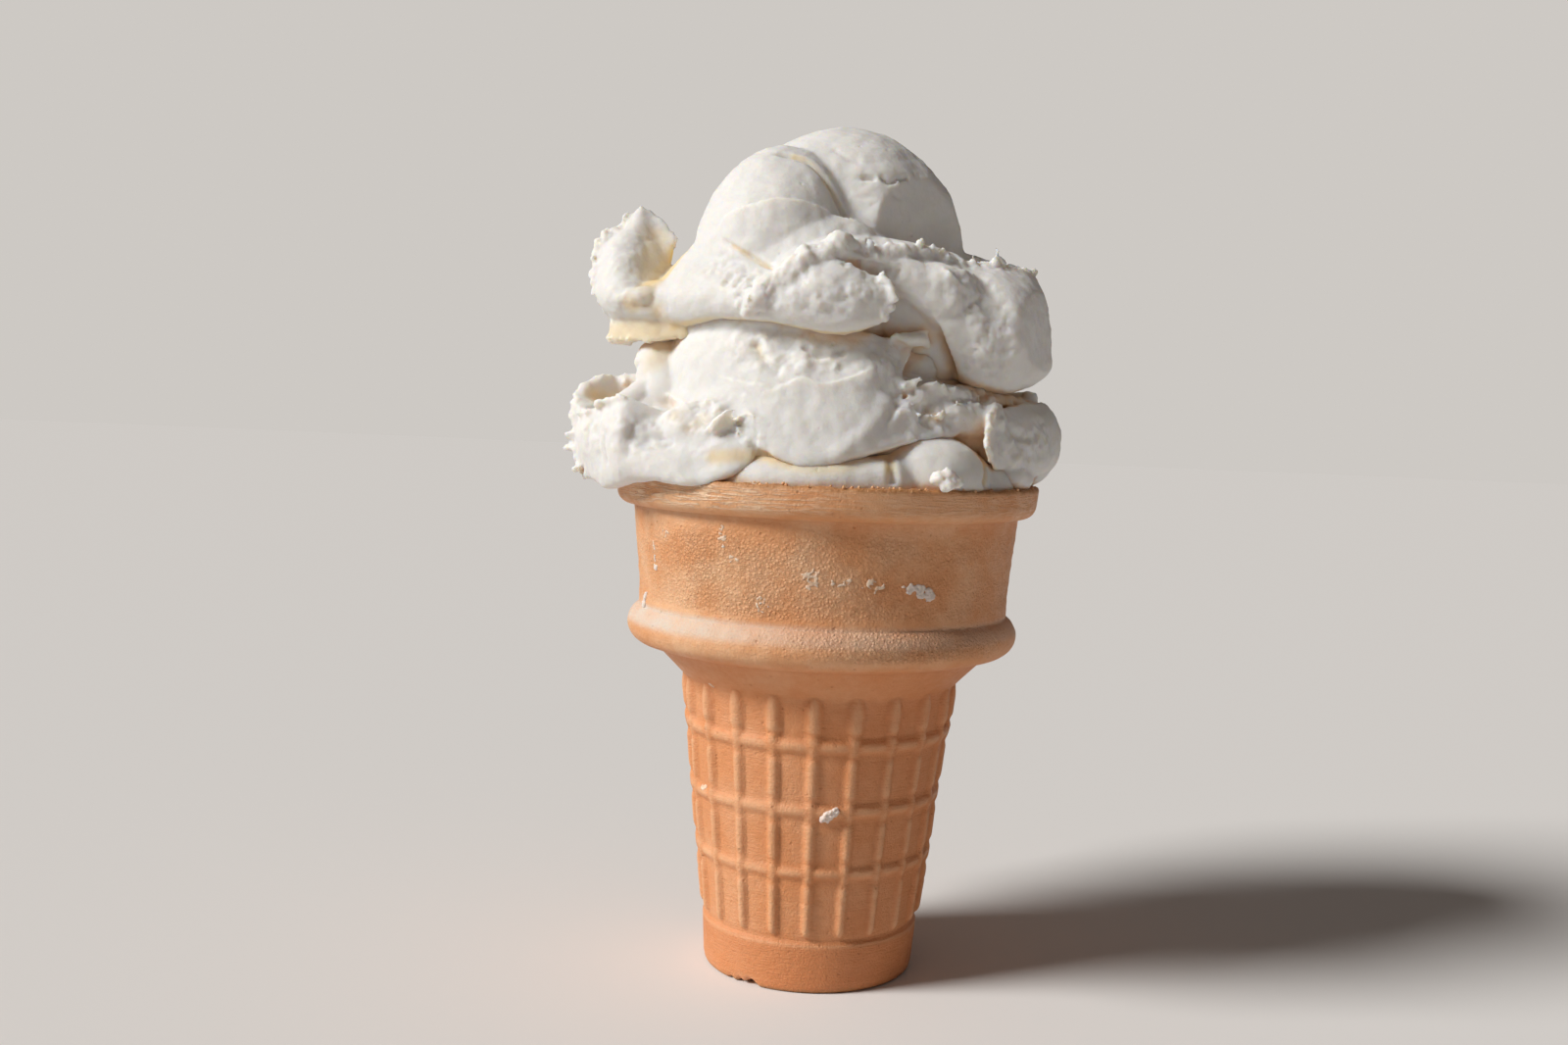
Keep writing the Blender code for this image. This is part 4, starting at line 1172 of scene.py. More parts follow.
print("with the back, the lower scoop has", len(lower_pieces), "pieces")

# %% [markdown]
# ## Lower scoop: creases and skin
# The slab is thicker than the torn top that it lies against, so one side of that line is
# lifted. The rough places follow, in the same way as on the upper scoop. Long scratches run
# down the curl where it rubbed past the rim.

# %% Creases of the lower scoop
lower_ice_cream = drop_loose(melt("lower_ice_cream", lower_pieces))
scoop = lower_ice_cream          # and these on this one

BACK_GROOVES = ([(33, 14, 90), (33, 16, 85), (31, 17, 80)],
                [(14, 33, 90), (13, 35, 85), (14, 34, 80)],
                [(-12, 33, 89), (-14, 34, 84), (-13, 33, 80)],
                [(-27, 21, 90), (-29, 22, 85), (-29, 20, 80)])
# x, y, top, bottom
SCRATCHES = ((-35.5, -16.5, 86, 81), (-33.4, -18.5, 87, 79.5), (-31.6, -20, 85, 79), (-28, -23.4, 86, 80))

# the slab is thicker than the torn top it lies against
torn_edge = [(-16.5, -22, 93), (-11, -23.5, 91.4), (-6.7, -25, 91.2), (-4, -26, 92.8), (-1.1, -26.4, 91.9),
             (1.9, -26.2, 93), (4.6, -25, 94), (6.6, -24.4, 95.6)]
stroke(scoop, torn_edge, rise=0.5, width=3.0, side=1, sharp=0.2)
stroke(scoop, [(-11.4, -22, 98), (-10.2, -23, 96.2), (-9.4, -24, 94.6), (-7, -25, 92.8)], rise=-0.8,
       width=0.6)
stroke(scoop, [(-4.6, -24.6, 97.6), (-2, -25, 96.4), (0.6, -25, 96.8), (2, -24.6, 98)], rise=-0.6,
       width=0.5)
stroke(scoop,
       [(8.6, -25, 91.5), (7.6, -26.4, 88.6), (5.4, -28.2, 85.6), (2.2, -29.4, 83), (-0.5, -29.6, 81.8)],
       rise=0.5, width=1.3)
for points in BACK_GROOVES:
    stroke(scoop, points, rise=-0.6, width=0.6)
for x, y, top, bottom in SCRATCHES:
    stroke(scoop, [(x, y, top), (x - 0.6, y, 0.5 * (top + bottom)), (x - 0.2, y, bottom)], rise=-0.25,
           width=0.5)

print("grooves at the back:", len(BACK_GROOVES), "scratches:", len(SCRATCHES))

# %% Skin of the lower scoop
# each line, its reach, and its coats: size, rise, seed and kind
LOWER_ROUGH = (
    # the slab's top, the chips and the edge on its left, and the curl
    ([(-12, -22, 97), (-5, -24, 96), (2, -24.5, 96.5), (8, -22, 97)], 5,
     ((3.4, 0.55, 6, "soft"), (2, 0.08, 8, "pits"), (1.4, 0.06, 18, "crumbs"))),
    ([(-21.5, -24, 87.2), (-19, -25, 86), (-17.5, -25, 88.5)], 4,
     ((1.4, 0.16, 7, "crumbs"), (3.5, 0.6, 27, "soft"))),
    ([(-21, -22, 90.4), (-16.8, -25, 87.6), (-12, -27.6, 85.6), (-10, -28.4, 83.2)], 2.2,
     ((1.4, 0.28, 13, "crumbs"),)),
    (LEFT_FACE, 5, ((2, 0.35, 14, "crumbs"),)),
    ([(-33, -18, 85), (-29, -23, 84), (-24, -23, 83)], 5, ((4.6, 0.7, 19, "soft"), (1.4, 0.1, 20, "soft"))),
    # the torn wall, the back and the mass on the right
    ([(11, -24, 91), (15, -22.6, 88), (19, -19.6, 90), (22, -17, 91)], 4.4,
     ((1.7, 0.3, 15, "crumbs"), (3.6, 0.9, 28, "soft"))),
    ([round_back(*spot) for spot in LOWER_BACK_EDGE], 4, ((1.6, 0.4, 6, "crumbs"),)),
    ([round_back(-20, 34, 86), round_back(50, 36, 86)], 10, ((4.6, 0.9, 92, "soft"),)),
    ([round_back(20, 34, 84), round_back(50, 36, 86)], 7, ((1.8, 0.25, 93, "soft"),)),
    ([(26, -18, 88), (27, -17, 84), (32, -11, 86)], 4.6, ((1.8, 0.4, 21, "soft"),)))

roughen_places(scoop, LOWER_ROUGH)
roughen_all_over(scoop, seeds=(9, 16, 17))
print("the lower scoop has", triangle_count(scoop), "triangles before thinning")
thin_out(scoop)

# %% [markdown]
# ## The filling in the cup
# The cup itself was packed with ice cream before the scoops went on, and it shows as a
# smooth lobe between the slab and the rim. A short cone fills the cup, a ring of rolls
# closes the gap at the rim, and two lumps make the lobe.

# %% Filling
pieces = [
    lump((0, 0, 74.5), (30.2, 30.2, 6.2)),
    roll([(-24, -14.5, 77.4, 3.4), (-16, -22, 77.6, 4.5), (-8, -26, 77.8, 4.4), (0, -26.8, 77.8, 4.4),
          (8, -26, 78.2, 4.2)]),
    lump((14.8, -20.4, 79.8), (8.4, 7.4, 5.9), turn=(0, 6, 0)), lump((18.6, -19.4, 79), (5.4, 6.4, 5)),
    roll([(27, -2, 76.4, 4), (25, 10, 76.2, 4.2), (17, 20.5, 76.4, 4.4), (4, 26.8, 76.6, 4.2),
          (-10, 25, 76.4, 4.4), (-21, 17, 76.4, 4.2), (-26.6, 5, 76.6, 4.2), (-26, -8, 77, 4)]),
    roll([(20, -20, 77.5, 3.6), (24, -15.5, 78, 3.6), (27, -8, 77.6, 3.4)])]
bpy.ops.object.select_all(action="DESELECT")
bpy.ops.mesh.primitive_cone_add(vertices=64, radius1=26.0 * MM, radius2=29.0 * MM, depth=18 * MM,
                                location=(0, 0, 66.5 * MM))
pieces.append(bpy.context.object)
cup_ice_cream = melt("cup_ice_cream", pieces, voxel=0.5)
roughen(cup_ice_cream, np.ones(len(cup_ice_cream.data.vertices)), size=6.0, rise=0.35, seed=12)
stroke(cup_ice_cream, [(8.4, -26.5, 84), (9, -28.5, 81), (9.6, -30.5, 78.4)], rise=-0.7, width=0.7,
       fade=0.05)
stroke(cup_ice_cream, [(22.4, -19.5, 84), (22.2, -21.5, 81), (22, -23.5, 78.4)], rise=-0.6, width=0.7,
       fade=0.05)
print("the filling has", triangle_count(cup_ice_cream), "triangles")

# %% [markdown]
# ## Dried smears on the wafer
# A few drips were wiped along the wafer and dried. Paint alone would look flat from the
# side, so each smear is a patch of flat ragged grains that sit on the wafer's real surface.
# A ray finds that surface, and the grains are melted together like the ice cream.

# %% Places on the wafer
WALL_RADIUS = 28.0
WELL_OUTSIDE = 60 * MM


def on_wafer(angle, height):
    """The place and outward direction of the wafer's outside at this angle and height."""
    turn = math.radians(angle)
    out = Vector((math.sin(turn), -math.cos(turn), 0.0))
    _, place, normal, _ = wafer.ray_cast(out * WELL_OUTSIDE + Vector((0, 0, height * MM)), -out)
    return place / MM, normal


print("the wall's radius at 65 mm is", round(math.hypot(*on_wafer(0, 65.0)[0][:2]), 2), "mm")

# %% Smears
def smear(angle, height, wide, tall, lean, cover, thick, seed):
    """A dried smear: flat ragged grains pressed on the wafer. wide is in degrees, tall in mm."""
    chance = np.random.default_rng(seed)
    mesh = bpy.data.meshes.new("smear")
    bm = bmesh.new()
    wide_mm = math.radians(wide) * WALL_RADIUS
    for _ in range(int(30 * wide_mm * tall * cover) + 8):
        reach, turn = math.sqrt(chance.random()), chance.uniform(0, 6.283)
        across, up = 0.5 * reach * math.cos(turn), 0.5 * reach * math.sin(turn)
        spot = Vector((across * wide_mm / 0.8, up * tall / 0.7, seed * 3.0))
        if noise.fractal(spot, 0.8, 2.0, 3) + 0.45 - 0.9 * reach ** 3 < 0.5 - cover:
            continue
        place, normal = on_wafer(angle + across * wide, height + up * tall + across * lean)
        size = chance.uniform(0.15, 0.34)
        flat = normal.to_track_quat("Z", "Y").to_matrix().to_4x4()
        deep = thick * chance.uniform(0.6, 1.3)
        matrix = Matrix.Translation(place * MM) @ flat @ Matrix.Diagonal((size * MM, size * MM, deep * MM,
                                                                          1.0))
        bmesh.ops.create_icosphere(bm, subdivisions=1, radius=1.0, matrix=matrix)
    bm.to_mesh(mesh)
    bm.free()
    item = bpy.data.objects.new("smear", mesh)
    bpy.context.scene.collection.objects.link(item)
    return item


# angle, height, width in degrees, height in mm, lean, cover, thickness
FILMS = ((-3, 64.6, 7, 3.4, 0, 0.36, 0.12), (5, 64.2, 9, 1.6, 0, 0.26, 0.10),
         (14, 63.8, 8, 2.2, -0.6, 0.30, 0.12), (-29, 69.4, 3, 4.6, -1, 0.30, 0.10),
         (-26, 66.6, 6, 1.8, -1.6, 0.25, 0.10), (-59, 66.6, 1, 5, 0, 0.4, 0.10),
         (-17, 60.4, 6, 2.6, 0, 0.24, 0.10), (-52, 69, 7, 2, 0, 0.2, 0.08),
         (118, 66, 9, 3, 2, 0.34, 0.12), (-60, 29.6, 8, 1.1, 0, 0.4, 0.16),
         (-48, 46.2, 2.4, 1, 0, 0.45, 0.14))
CLOTS = ((27.5, 63.2, 10, 1.9, -0.8, 0.52, 0.32), (31.5, 62.6, 3.4, 2.2, 0, 0.6, 0.4),
         (-59, 63.9, 2.6, 1.2, 0, 0.5, 0.2), (-69, 58.2, 4, 2.4, 2.4, 0.6, 0.35),
         (6.5, 28.2, 7, 1.7, 1.2, 0.75, 0.6), (9.5, 28.9, 3, 1.2, 0, 0.7, 0.5),
         (205, 61.5, 9, 2, -1, 0.45, 0.3))
patches = [smear(*spec, seed=40 + index) for index, spec in enumerate(FILMS + CLOTS)]
smears = melt("dried_smears", patches, voxel=0.13, rounds=1)
print(len(patches), "smears lie on the wafer")

# %% [markdown]
# ## Crumbs on the rim
# One crumb of ice cream sits on the front of the rim. Along the rim's top edge lie golden
# specks of wafer. They are small balls of twenty faces, because there are nearly two
# hundred of them.

# %% Crumb of ice cream
rim_crumb = melt("rim_crumb", [
    lump((15.6, -29.2, 79.4), (1.3, 1.4, 1.0)), lump((16.9, -28.8, 79.7), (1.3, 1.4, 1.1)),
    lump((18.1, -28.4, 79.0), (1.3, 1.3, 0.9)), lump((16.9, -29.6, 78.5), (1.2, 1.3, 0.9)),
    knobs([(15.0, -29.6, 79.5), (16.6, -29.2, 80.3), (18.6, -28.8, 79.2)], count=12, sizes=(0.25, 0.5),
          spread=0.25, seed=60)], voxel=0.25, rounds=1)
roughen(rim_crumb, np.ones(len(rim_crumb.data.vertices)), size=1.0, rise=0.25, seed=61)
print("smears:", triangle_count(smears), "triangles; crumb:", triangle_count(rim_crumb))

# %% Specks on the rim's edge
SPECKS = 190
chance = np.random.default_rng(71)
turns = chance.uniform(0.0, 2.0 * math.pi, SPECKS)
far = chance.uniform(31.6, 33.2, SPECKS)
high = chance.uniform(77.5, 77.95, SPECKS)
edge_places = np.stack([far * np.sin(turns), -far * np.cos(turns), high], 1)
edge_crumbs = balls("rim_crumbs", edge_places, chance.uniform(0.12, 0.34, SPECKS), 0.5, 72)
print(SPECKS, "specks lie on the rim's edge")

# %% [markdown]
# ## Masks for the materials
# A material can't know where a crease or a worn edge is, but a mesh can carry a number at
# every corner for it to read. These masks are named attributes. Averaging the places of
# neighbouring corners again and again gives a softened skin, and a corner that lies below
# it is in a hollow, while one that stands above it is on a crest.

# %% Paint and soften
def paint(item, name, mask):
    """Keep a mask (0 to 1) on the mesh, for a material to read."""
    layer = item.data.attributes.new(name, "FLOAT", "POINT")
    layer.data.foreach_set("value", np.clip(mask, 0.0, 1.0).astype(np.float32))


def spread_over(item, values, rounds):
    """Values averaged again and again with those of the corners next to them."""
    count = len(item.data.vertices)
    pairs = np.empty(len(item.data.edges) * 2, np.int32)
    item.data.edges.foreach_get("vertices", pairs)
    a, b = pairs[::2], pairs[1::2]
    links = np.maximum(np.bincount(a, minlength=count) + np.bincount(b, minlength=count), 1)
    for _ in range(rounds):
        total = np.bincount(a, values[b], count) + np.bincount(b, values[a], count)
        values = 0.4 * values + 0.6 * total / links
    return values


def hollows(item, rounds=24):
    """How far each corner lies below the skin averaged round it, in millimetres."""
    places = corners_of(item)
    soft = np.stack([spread_over(item, places[:, k], rounds) for k in range(3)], 1)
    return np.einsum("ij,ij->i", soft - places, normals_of(item))


print("on the wafer, the deepest hollow is", round(float(hollows(wafer, 8).max()), 2), "mm")

# %% [markdown]
# ## Shelter
# Deep between the folds the cream is painted amber: painted shade for light that has bounced
# many times through the cream. Rays sent out from each corner find how closed in it is: where
# most of them soon meet ice cream or wafer, the mask is high.

# %% Shelter
RAYS = 8
RAY_REACH = 9.0
SOFTENING = 8


def sheltered(item, around):
    """How closed in each corner is: the share of rays out of the skin that soon meet ice cream."""
    chance = np.random.default_rng(96)
    places, normals = corners_of(item), normals_of(item)
    closed = np.zeros(len(places))
    for _ in range(RAYS):
        ways = chance.normal(size=places.shape)
        ways = normals + ways / np.linalg.norm(ways, axis=1)[:, None]
        starts = places + 0.2 * normals
        for index, (start, way) in enumerate(zip(starts.tolist(), ways.tolist())):
            far = around.ray_cast(start, way, RAY_REACH)[3]
            if far is not None:
                closed[index] += 1.0 - far / RAY_REACH
    return spread_over(item, closed / RAYS, SOFTENING)


def all_skins(*items):
    """The pieces as one set of triangles in millimetres, for rays to meet."""
    corners, faces, start = [], [], 0
    for item in items:
        item.data.calc_loop_triangles()
        flat = np.empty(len(item.data.loop_triangles) * 3, np.int32)
        item.data.loop_triangles.foreach_get("vertices", flat)
        corners += corners_of(item).tolist()
        faces += (flat.reshape(-1, 3) + start).tolist()
        start += len(item.data.vertices)
    return BVHTree.FromPolygons(corners, faces)


everything = all_skins(upper_ice_cream, lower_ice_cream, cup_ice_cream, wafer)
print("the skins are ready for rays")

# %% Paint the ice cream
def paint_ice_cream(item, painted_shade_spots):
    deep = hollows(item)
    # the deep mask carries painted amber shade in closed-in folds
    paint(item, "deep", ease(sheltered(item, everything), 0.18, 0.62))
    # the hollow mask carries painted glow and shade in creases
    paint(item, "painted_hollow_shade", ease(deep, 0.12, 0.9))
    paint(item, "crest", ease(-deep, 0.12, 0.7))
    # painted warm shade and glow along the listed lines
    painted_warm_shade = np.zeros(len(item.data.vertices))
    for points, reach, strength in painted_shade_spots:
        painted_warm_shade = np.maximum(painted_warm_shade, strength * near_mask(item, points, reach=reach))
    paint(item, "painted_warm_shade", painted_warm_shade)
    print(item.name, "lies in hollows over", round(100 * float((deep > 0.12).mean())), "% of its skin")


# each spot of painted warm shade and glow: the line it follows in millimetres, its reach and its strength
paint_ice_cream(upper_ice_cream, (
    ([(-24.6, -6, 112), (-25.8, -9, 109.5), (-26.8, -12, 106.5), (-28, -13.4, 104.4)], 3.2, 1),
    ([(-30, -14, 103.4), (-27.5, -13.6, 103.4), (-26, -14.4, 102.4)], 2.4, 0.7),
    ([(-28.6, -4, 114), (-28.2, -7, 111), (-28.4, -10, 107.6)], 3.4, 0.45),
    ([(-34, -6, 99.2), (-30, -12.6, 99.2), (-22, -15.4, 99.6)], 2.8, 0.6),
    ([(-15, -19, 111.8), (-13, -20.5, 110.5), (-9, -22.5, 108)], 0.6, 0.6),
    ([(-7, -13, 126), (-4, -14, 125), (0.9, -15, 118.1), (5, -16, 114.8)], 1.3, 0.7),
    ([(-24, -15, 99.8), (-17, -21, 100.4), (-9, -24, 100), (0, -25.5, 99.2), (6, -24.6, 100)], 1.3, 0.8)))
paint_ice_cream(lower_ice_cream, (
    ([(-36, -5.5, 88.8), (-33, -4.5, 89.4)], 3.4, 0.75),
    ([(-26, -13, 96.5), (-26.8, -12, 93)], 3, 0.4),
    ([(-22, -24, 86.6), (-20, -25, 84.6), (-18, -25.5, 86.4)], 1.6, 0.25),
    ([(-10.6, -22, 97), (-9.8, -23, 95)], 1.3, 0.4),
    ([(-16, -28, 81), (-11, -28.6, 81.4), (-7, -28, 81)], 1.8, 0.6)))
paint_ice_cream(cup_ice_cream, (
    ([(8.4, -27, 83), (9, -29.5, 80.5), (9.6, -31, 78.4)], 1.5, 0.9),
    ([(-10, -28.6, 82), (-4, -30.4, 80.6), (2, -30.8, 80.8), (8, -29.4, 83)], 1.8, 0.5),
    ([(22.2, -20.5, 83), (22, -23, 79)], 1.3, 0.7),
    ([(-22, -19, 78.8), (-15, -25, 79.4), (-9, -27.4, 80.6)], 2, 0.8)))

# %% [markdown]
# ## Masks on the wafer
# The wafer's zones are set by height and angle: the powdery bead, paler on its lit left as a
# painted highlight, the pebbled upper wall, the well-toasted foot, darker low down and on the
# right partly as painted shade, the browned edges and the flaky rim. Hollows and crests get
# painted shade and a painted highlight.

# %% Paint the wafer
def paint_wafer(item):
    places = corners_of(item)
    radius = np.hypot(places[:, 0], places[:, 1])
    angle = angles_of(places)
    height = places[:, 2]
    bead = ease(height, 54.2, 55.6) * (1.0 - ease(height, 57.3, 58.0)) * (radius > 28.6)
    # the powder is strongest on the lit left: partly a painted highlight
    left = 0.34 + 0.66 * near_angle(angle, -60, 66)
    patchy = 0.85 + 0.3 * wobble(places, size=2.4, seed=11)
    paint(item, "powder_and_highlight", bead * left * patchy)
    upper_wall = ease(height, 57.4, 59.5) * (1.0 - ease(height, 69.0, 73.0))
    pebbly = upper_wall * (0.45 + 0.55 * near_angle(angle, -12, 60)) * (0.8 + 0.4 * wobble(places,
                                                                                           size=6.0,
                                                                                           seed=12))
    golden = ease(height, 52.2, 53.6) * (1.0 - ease(height, 57.0, 58.0)) * near_angle(angle, 25, 60)
    golden = golden * (radius > 28.0)
    paint(item, "pebble", np.maximum(pebbly, 0.8 * golden))
    # partly real toasting, partly painted shade: darker lower down, on the right away from the light, and
    # on the foot band
    below = 1.0 - ease(height, 51.0, 53.0)
    right = near_angle(angle, 110.0, 150.0)
    toasted_and_shaded = below * (0.62 + 0.35 * right) + (1.0 - below) * (0.10 + 0.45 * right)
    toasted_and_shaded += 0.12 * wobble(places, size=7.0, seed=15) + 0.25 * (1.0 - ease(height, 7.2, 9.0))
    paint(item, "toasted_and_shaded", toasted_and_shaded)
    top = ease(height + 0.35 * wobble(places, size=1.6, seed=13), 76.9, 77.6)
    foot = 1.0 - ease(height + 0.3 * wobble(places, size=1.6, seed=14), 0.1, 0.9)
    paint(item, "browned", np.maximum(top, foot * (radius > 12)))
    band = ease(height, 73.4, 74.2) * (1.0 - ease(height, 76.9, 77.4)) * (radius > 30)
    paint(item, "flaky", band * (0.25 + 0.75 * near_angle(angle, -32, 45)))
    # painted shade in the hollows and a painted highlight on rib tops and other crests
    paint(item, "painted_hollow_shade", ease(hollows(item, 8), 0.02, 0.25))
    paint(item, "crest", ease(-hollows(item, 8), 0.02, 0.25))


paint_wafer(wafer)
print("masks on the wafer:", [layer.name for layer in wafer.data.attributes if layer.data_type == "FLOAT"])

# %% Paint the smears
clots = np.zeros(len(smears.data.vertices))
for angle, height, *_ in CLOTS:
    middle = on_wafer(angle, height)[0]
    away = np.linalg.norm(corners_of(smears) - np.array(middle), axis=1)
    clots = np.maximum(clots, 1.0 - ease(away, 2.0, 4.0))
paint(smears, "thick", clots)
print("thick smears cover", round(100 * float(clots.mean())), "% of the smears")

# %% [markdown]
# ## Nodes written as sentences
# A material is a chain of nodes, and the links between them are tedious to write. These
# helpers add a node, set it up and connect it in one line, so a recipe reads from top to
# bottom.

# %% Node helpers
def node(tree, kind, settings=None, **inputs):
    """Add a node. An input is a value or another node's output; i0, i1... go by number."""
    made = tree.nodes.new(kind)
    made.location = (len(tree.nodes) * 190 - 1500, 0)
    for name, value in (settings or {}).items():
        setattr(made, name, value)
    for name, value in inputs.items():
        by_number = name[0] == "i" and name[1:].isdigit()
        socket = made.inputs[int(name[1:]) if by_number else name.replace("_", " ")]
        if isinstance(value, bpy.types.NodeSocket):
            tree.links.new(value, socket)
        else:
            socket.default_value = value
    return made


def sum_up(tree, operation, a, b):
    return node(tree, "ShaderNodeMath", {"operation": operation}, i0=a, i1=b).outputs[0]


def scaled(tree, value, by):
    return sum_up(tree, "MULTIPLY", value, by)


def blend_colours(tree, share, a, b):
    return node(tree, "ShaderNodeMix", {"data_type": "RGBA"}, i0=share, i6=a, i7=b).outputs[2]


def spread(tree, value, low, high, to_low=0.0, to_high=1.0):
    made = node(tree, "ShaderNodeMapRange", {"interpolation_type": "SMOOTHSTEP"}, Value=value, From_Min=low,
                From_Max=high, To_Min=to_low, To_Max=to_high)
    return made.outputs["Result"]


def mask_of(tree, name):
    return node(tree, "ShaderNodeAttribute", {"attribute_name": name}).outputs["Fac"]


def object_place(tree, scale=(1.0, 1.0, 1.0)):
    """Object coordinates in millimetres, stretched as asked."""
    place = node(tree, "ShaderNodeTexCoord").outputs["Object"]
    size = [1000.0 * share for share in scale]
    return node(tree, "ShaderNodeMapping", Vector=place, Scale=size).outputs["Vector"]


print("node helpers are ready")

# %% [markdown]
# ## Fine grain
# Ice cream, wafer and dried smears all have a fine grain, only of different size. One node
# group holds it and gives out a height, a mottle mask and pits, and each material sets its
# own size. The grain is made in object space, so it keeps its size everywhere on the piece.

# %% Grain group
def grain_group():
    """Fine grain in two sizes with scattered pits: heights in millimetres and a mottle mask."""
    group = bpy.data.node_groups.new("fine grain", "ShaderNodeTree")
    for name, kind in (("Place", "NodeSocketVector"), ("Grain Size", "NodeSocketFloat"),
                       ("Pit Share", "NodeSocketFloat")):
        group.interface.new_socket(name, in_out="INPUT", socket_type=kind)
    for name in ("Height", "Mottle", "Pits"):
        group.interface.new_socket(name, in_out="OUTPUT", socket_type="NodeSocketFloat")
    given = node(group, "NodeGroupInput")
    per_size = sum_up(group, "DIVIDE", 1.0, given.outputs["Grain Size"])
    fine = node(group, "ShaderNodeTexNoise", Vector=given.outputs["Place"], Scale=per_size, Detail=3.0,
                Roughness=0.6)
    coarse = node(group, "ShaderNodeTexNoise", Vector=given.outputs["Place"],
                  Scale=scaled(group, per_size, 0.22), Detail=4.0, Roughness=0.6)
    cells = node(group, "ShaderNodeTexVoronoi", Vector=given.outputs["Place"],
                 Scale=scaled(group, per_size, 0.3))
    hole = spread(group, cells.outputs["Distance"], 0.05, 0.32, 1.0, 0.0)
    chosen = spread(group, node(group, "ShaderNodeSeparateColor", Color=cells.outputs["Color"]).outputs[0],
                    sum_up(group, "SUBTRACT", given.outputs["Pit Share"], 0.01),
                    given.outputs["Pit Share"], 1.0, 0.0)
    pits = scaled(group, hole, chosen)
    height = sum_up(group, "ADD", scaled(group, fine.outputs["Fac"], 0.05),
                    scaled(group, coarse.outputs["Fac"], 0.16))
    height = sum_up(group, "SUBTRACT", height, scaled(group, pits, 0.12))
    node(group, "NodeGroupOutput", Height=height, Mottle=spread(group, coarse.outputs["Fac"], 0.3, 0.7),
         Pits=pits)
    return group


fine_grain = grain_group()
print("the grain group has", len(fine_grain.nodes), "nodes")

# %% Material helpers
def grain(tree, place, size, pit_share):
    made = node(tree, "ShaderNodeGroup", {"node_tree": fine_grain}, Place=place, Grain_Size=size,
                Pit_Share=pit_share)
    return made.outputs


def new_material(name):
    material = bpy.data.materials.new(name)
    material.use_nodes = True
    return material, material.node_tree, material.node_tree.nodes["Principled BSDF"]


def relief(tree, shader, height, strength=1.0):
    """Heights in millimetres become the skin's fine relief."""
    bump = node(tree, "ShaderNodeBump", Strength=strength, Distance=MM, Height=height)
    tree.links.new(bump.outputs["Normal"], shader.inputs["Normal"])


print("relief is given in millimetres")

# %% [markdown]
# ## Vanilla ice cream
# Ice cream is white because light scatters between its tiny bubbles and crystals. That is
# subsurface scattering: red travels furthest, so thin edges and shadows turn warm. The base
# colour is a soft cream. Butter yellow in the hollows and at the listed warm spots, and amber
# deep in the folds, are painted shade and glow. The surface is dull, with a weak sheen.

# %% Ice cream colours and material
CREAM = (0.745, 0.737, 0.722, 1)
CREAM_SHADE = (0.725, 0.706, 0.665, 1)
PAINTED_BUTTER_GLOW = (0.80, 0.59, 0.25, 1)
PAINTED_AMBER_SHADE = (0.77, 0.50, 0.27, 1)

ice_cream, tree, shader = new_material("vanilla ice cream")
place = object_place(tree)
outputs = grain(tree, place, size=0.42, pit_share=0.05)
colour = blend_colours(tree, scaled(tree, outputs["Mottle"], 0.5), CREAM, CREAM_SHADE)
# painted butter-yellow glow and shade in the hollows, as light through the cream would give
colour = blend_colours(tree, scaled(tree, mask_of(tree, "painted_hollow_shade"), 0.2), colour, PAINTED_BUTTER_GLOW)
# painted amber shade deep in the folds, where the corner is closed in
colour = blend_colours(tree, scaled(tree, mask_of(tree, "deep"), 0.72), colour, PAINTED_AMBER_SHADE)
# painted warm shade and glow at the listed spots
colour = blend_colours(tree, scaled(tree, mask_of(tree, "painted_warm_shade"), 0.85), colour, PAINTED_BUTTER_GLOW)
tree.links.new(colour, shader.inputs["Base Color"])
tree.links.new(spread(tree, outputs["Mottle"], 0.0, 1.0, 0.5, 0.68), shader.inputs["Roughness"])
shader.inputs["Subsurface Weight"].default_value = 0.85
shader.inputs["Subsurface Radius"].default_value = (1.0, 0.72, 0.42)
shader.inputs["Subsurface Scale"].default_value = 2.0 * MM
shader.inputs["Specular IOR Level"].default_value = 0.3
relief(tree, shader, outputs["Height"], strength=0.8)
print("the ice cream has", len(ice_cream.node_tree.nodes), "nodes")

# %% [markdown]
# ## Baked wafer
# The wafer is baked batter. Its colour runs from pale to toasted in clouds, with darker
# grain, seams between the pebbles of the upper wall, powder on the bead and browned edges.
# Painted shade darkens the hollows, and a painted highlight lightens the rib tops, the bead's
# left and the rim's flakes. Flakes on the rim's band are smooth and catch the light, so there
# the roughness drops.

# %% Wafer colours
BAKED = (0.76, 0.37, 0.165, 1)
TOASTED_AND_SHADED = (0.68, 0.25, 0.09, 1)
PALE_AND_HIGHLIGHT = (0.84, 0.52, 0.30, 1)
DEEP_GRAIN_AND_SHADE = (0.56, 0.205, 0.068, 1)
POWDER_AND_HIGHLIGHT = (0.67, 0.60, 0.52, 1)
BROWNED = (0.42, 0.18, 0.055, 1)
FLAKE_AND_HIGHLIGHT = (0.90, 0.66, 0.45, 1)
print("the toasted wafer is", TOASTED_AND_SHADED[:3])

# %% Baked colour
baked_wafer, tree, shader = new_material("baked wafer")
place = object_place(tree)
outputs = grain(tree, place, size=0.30, pit_share=0.10)
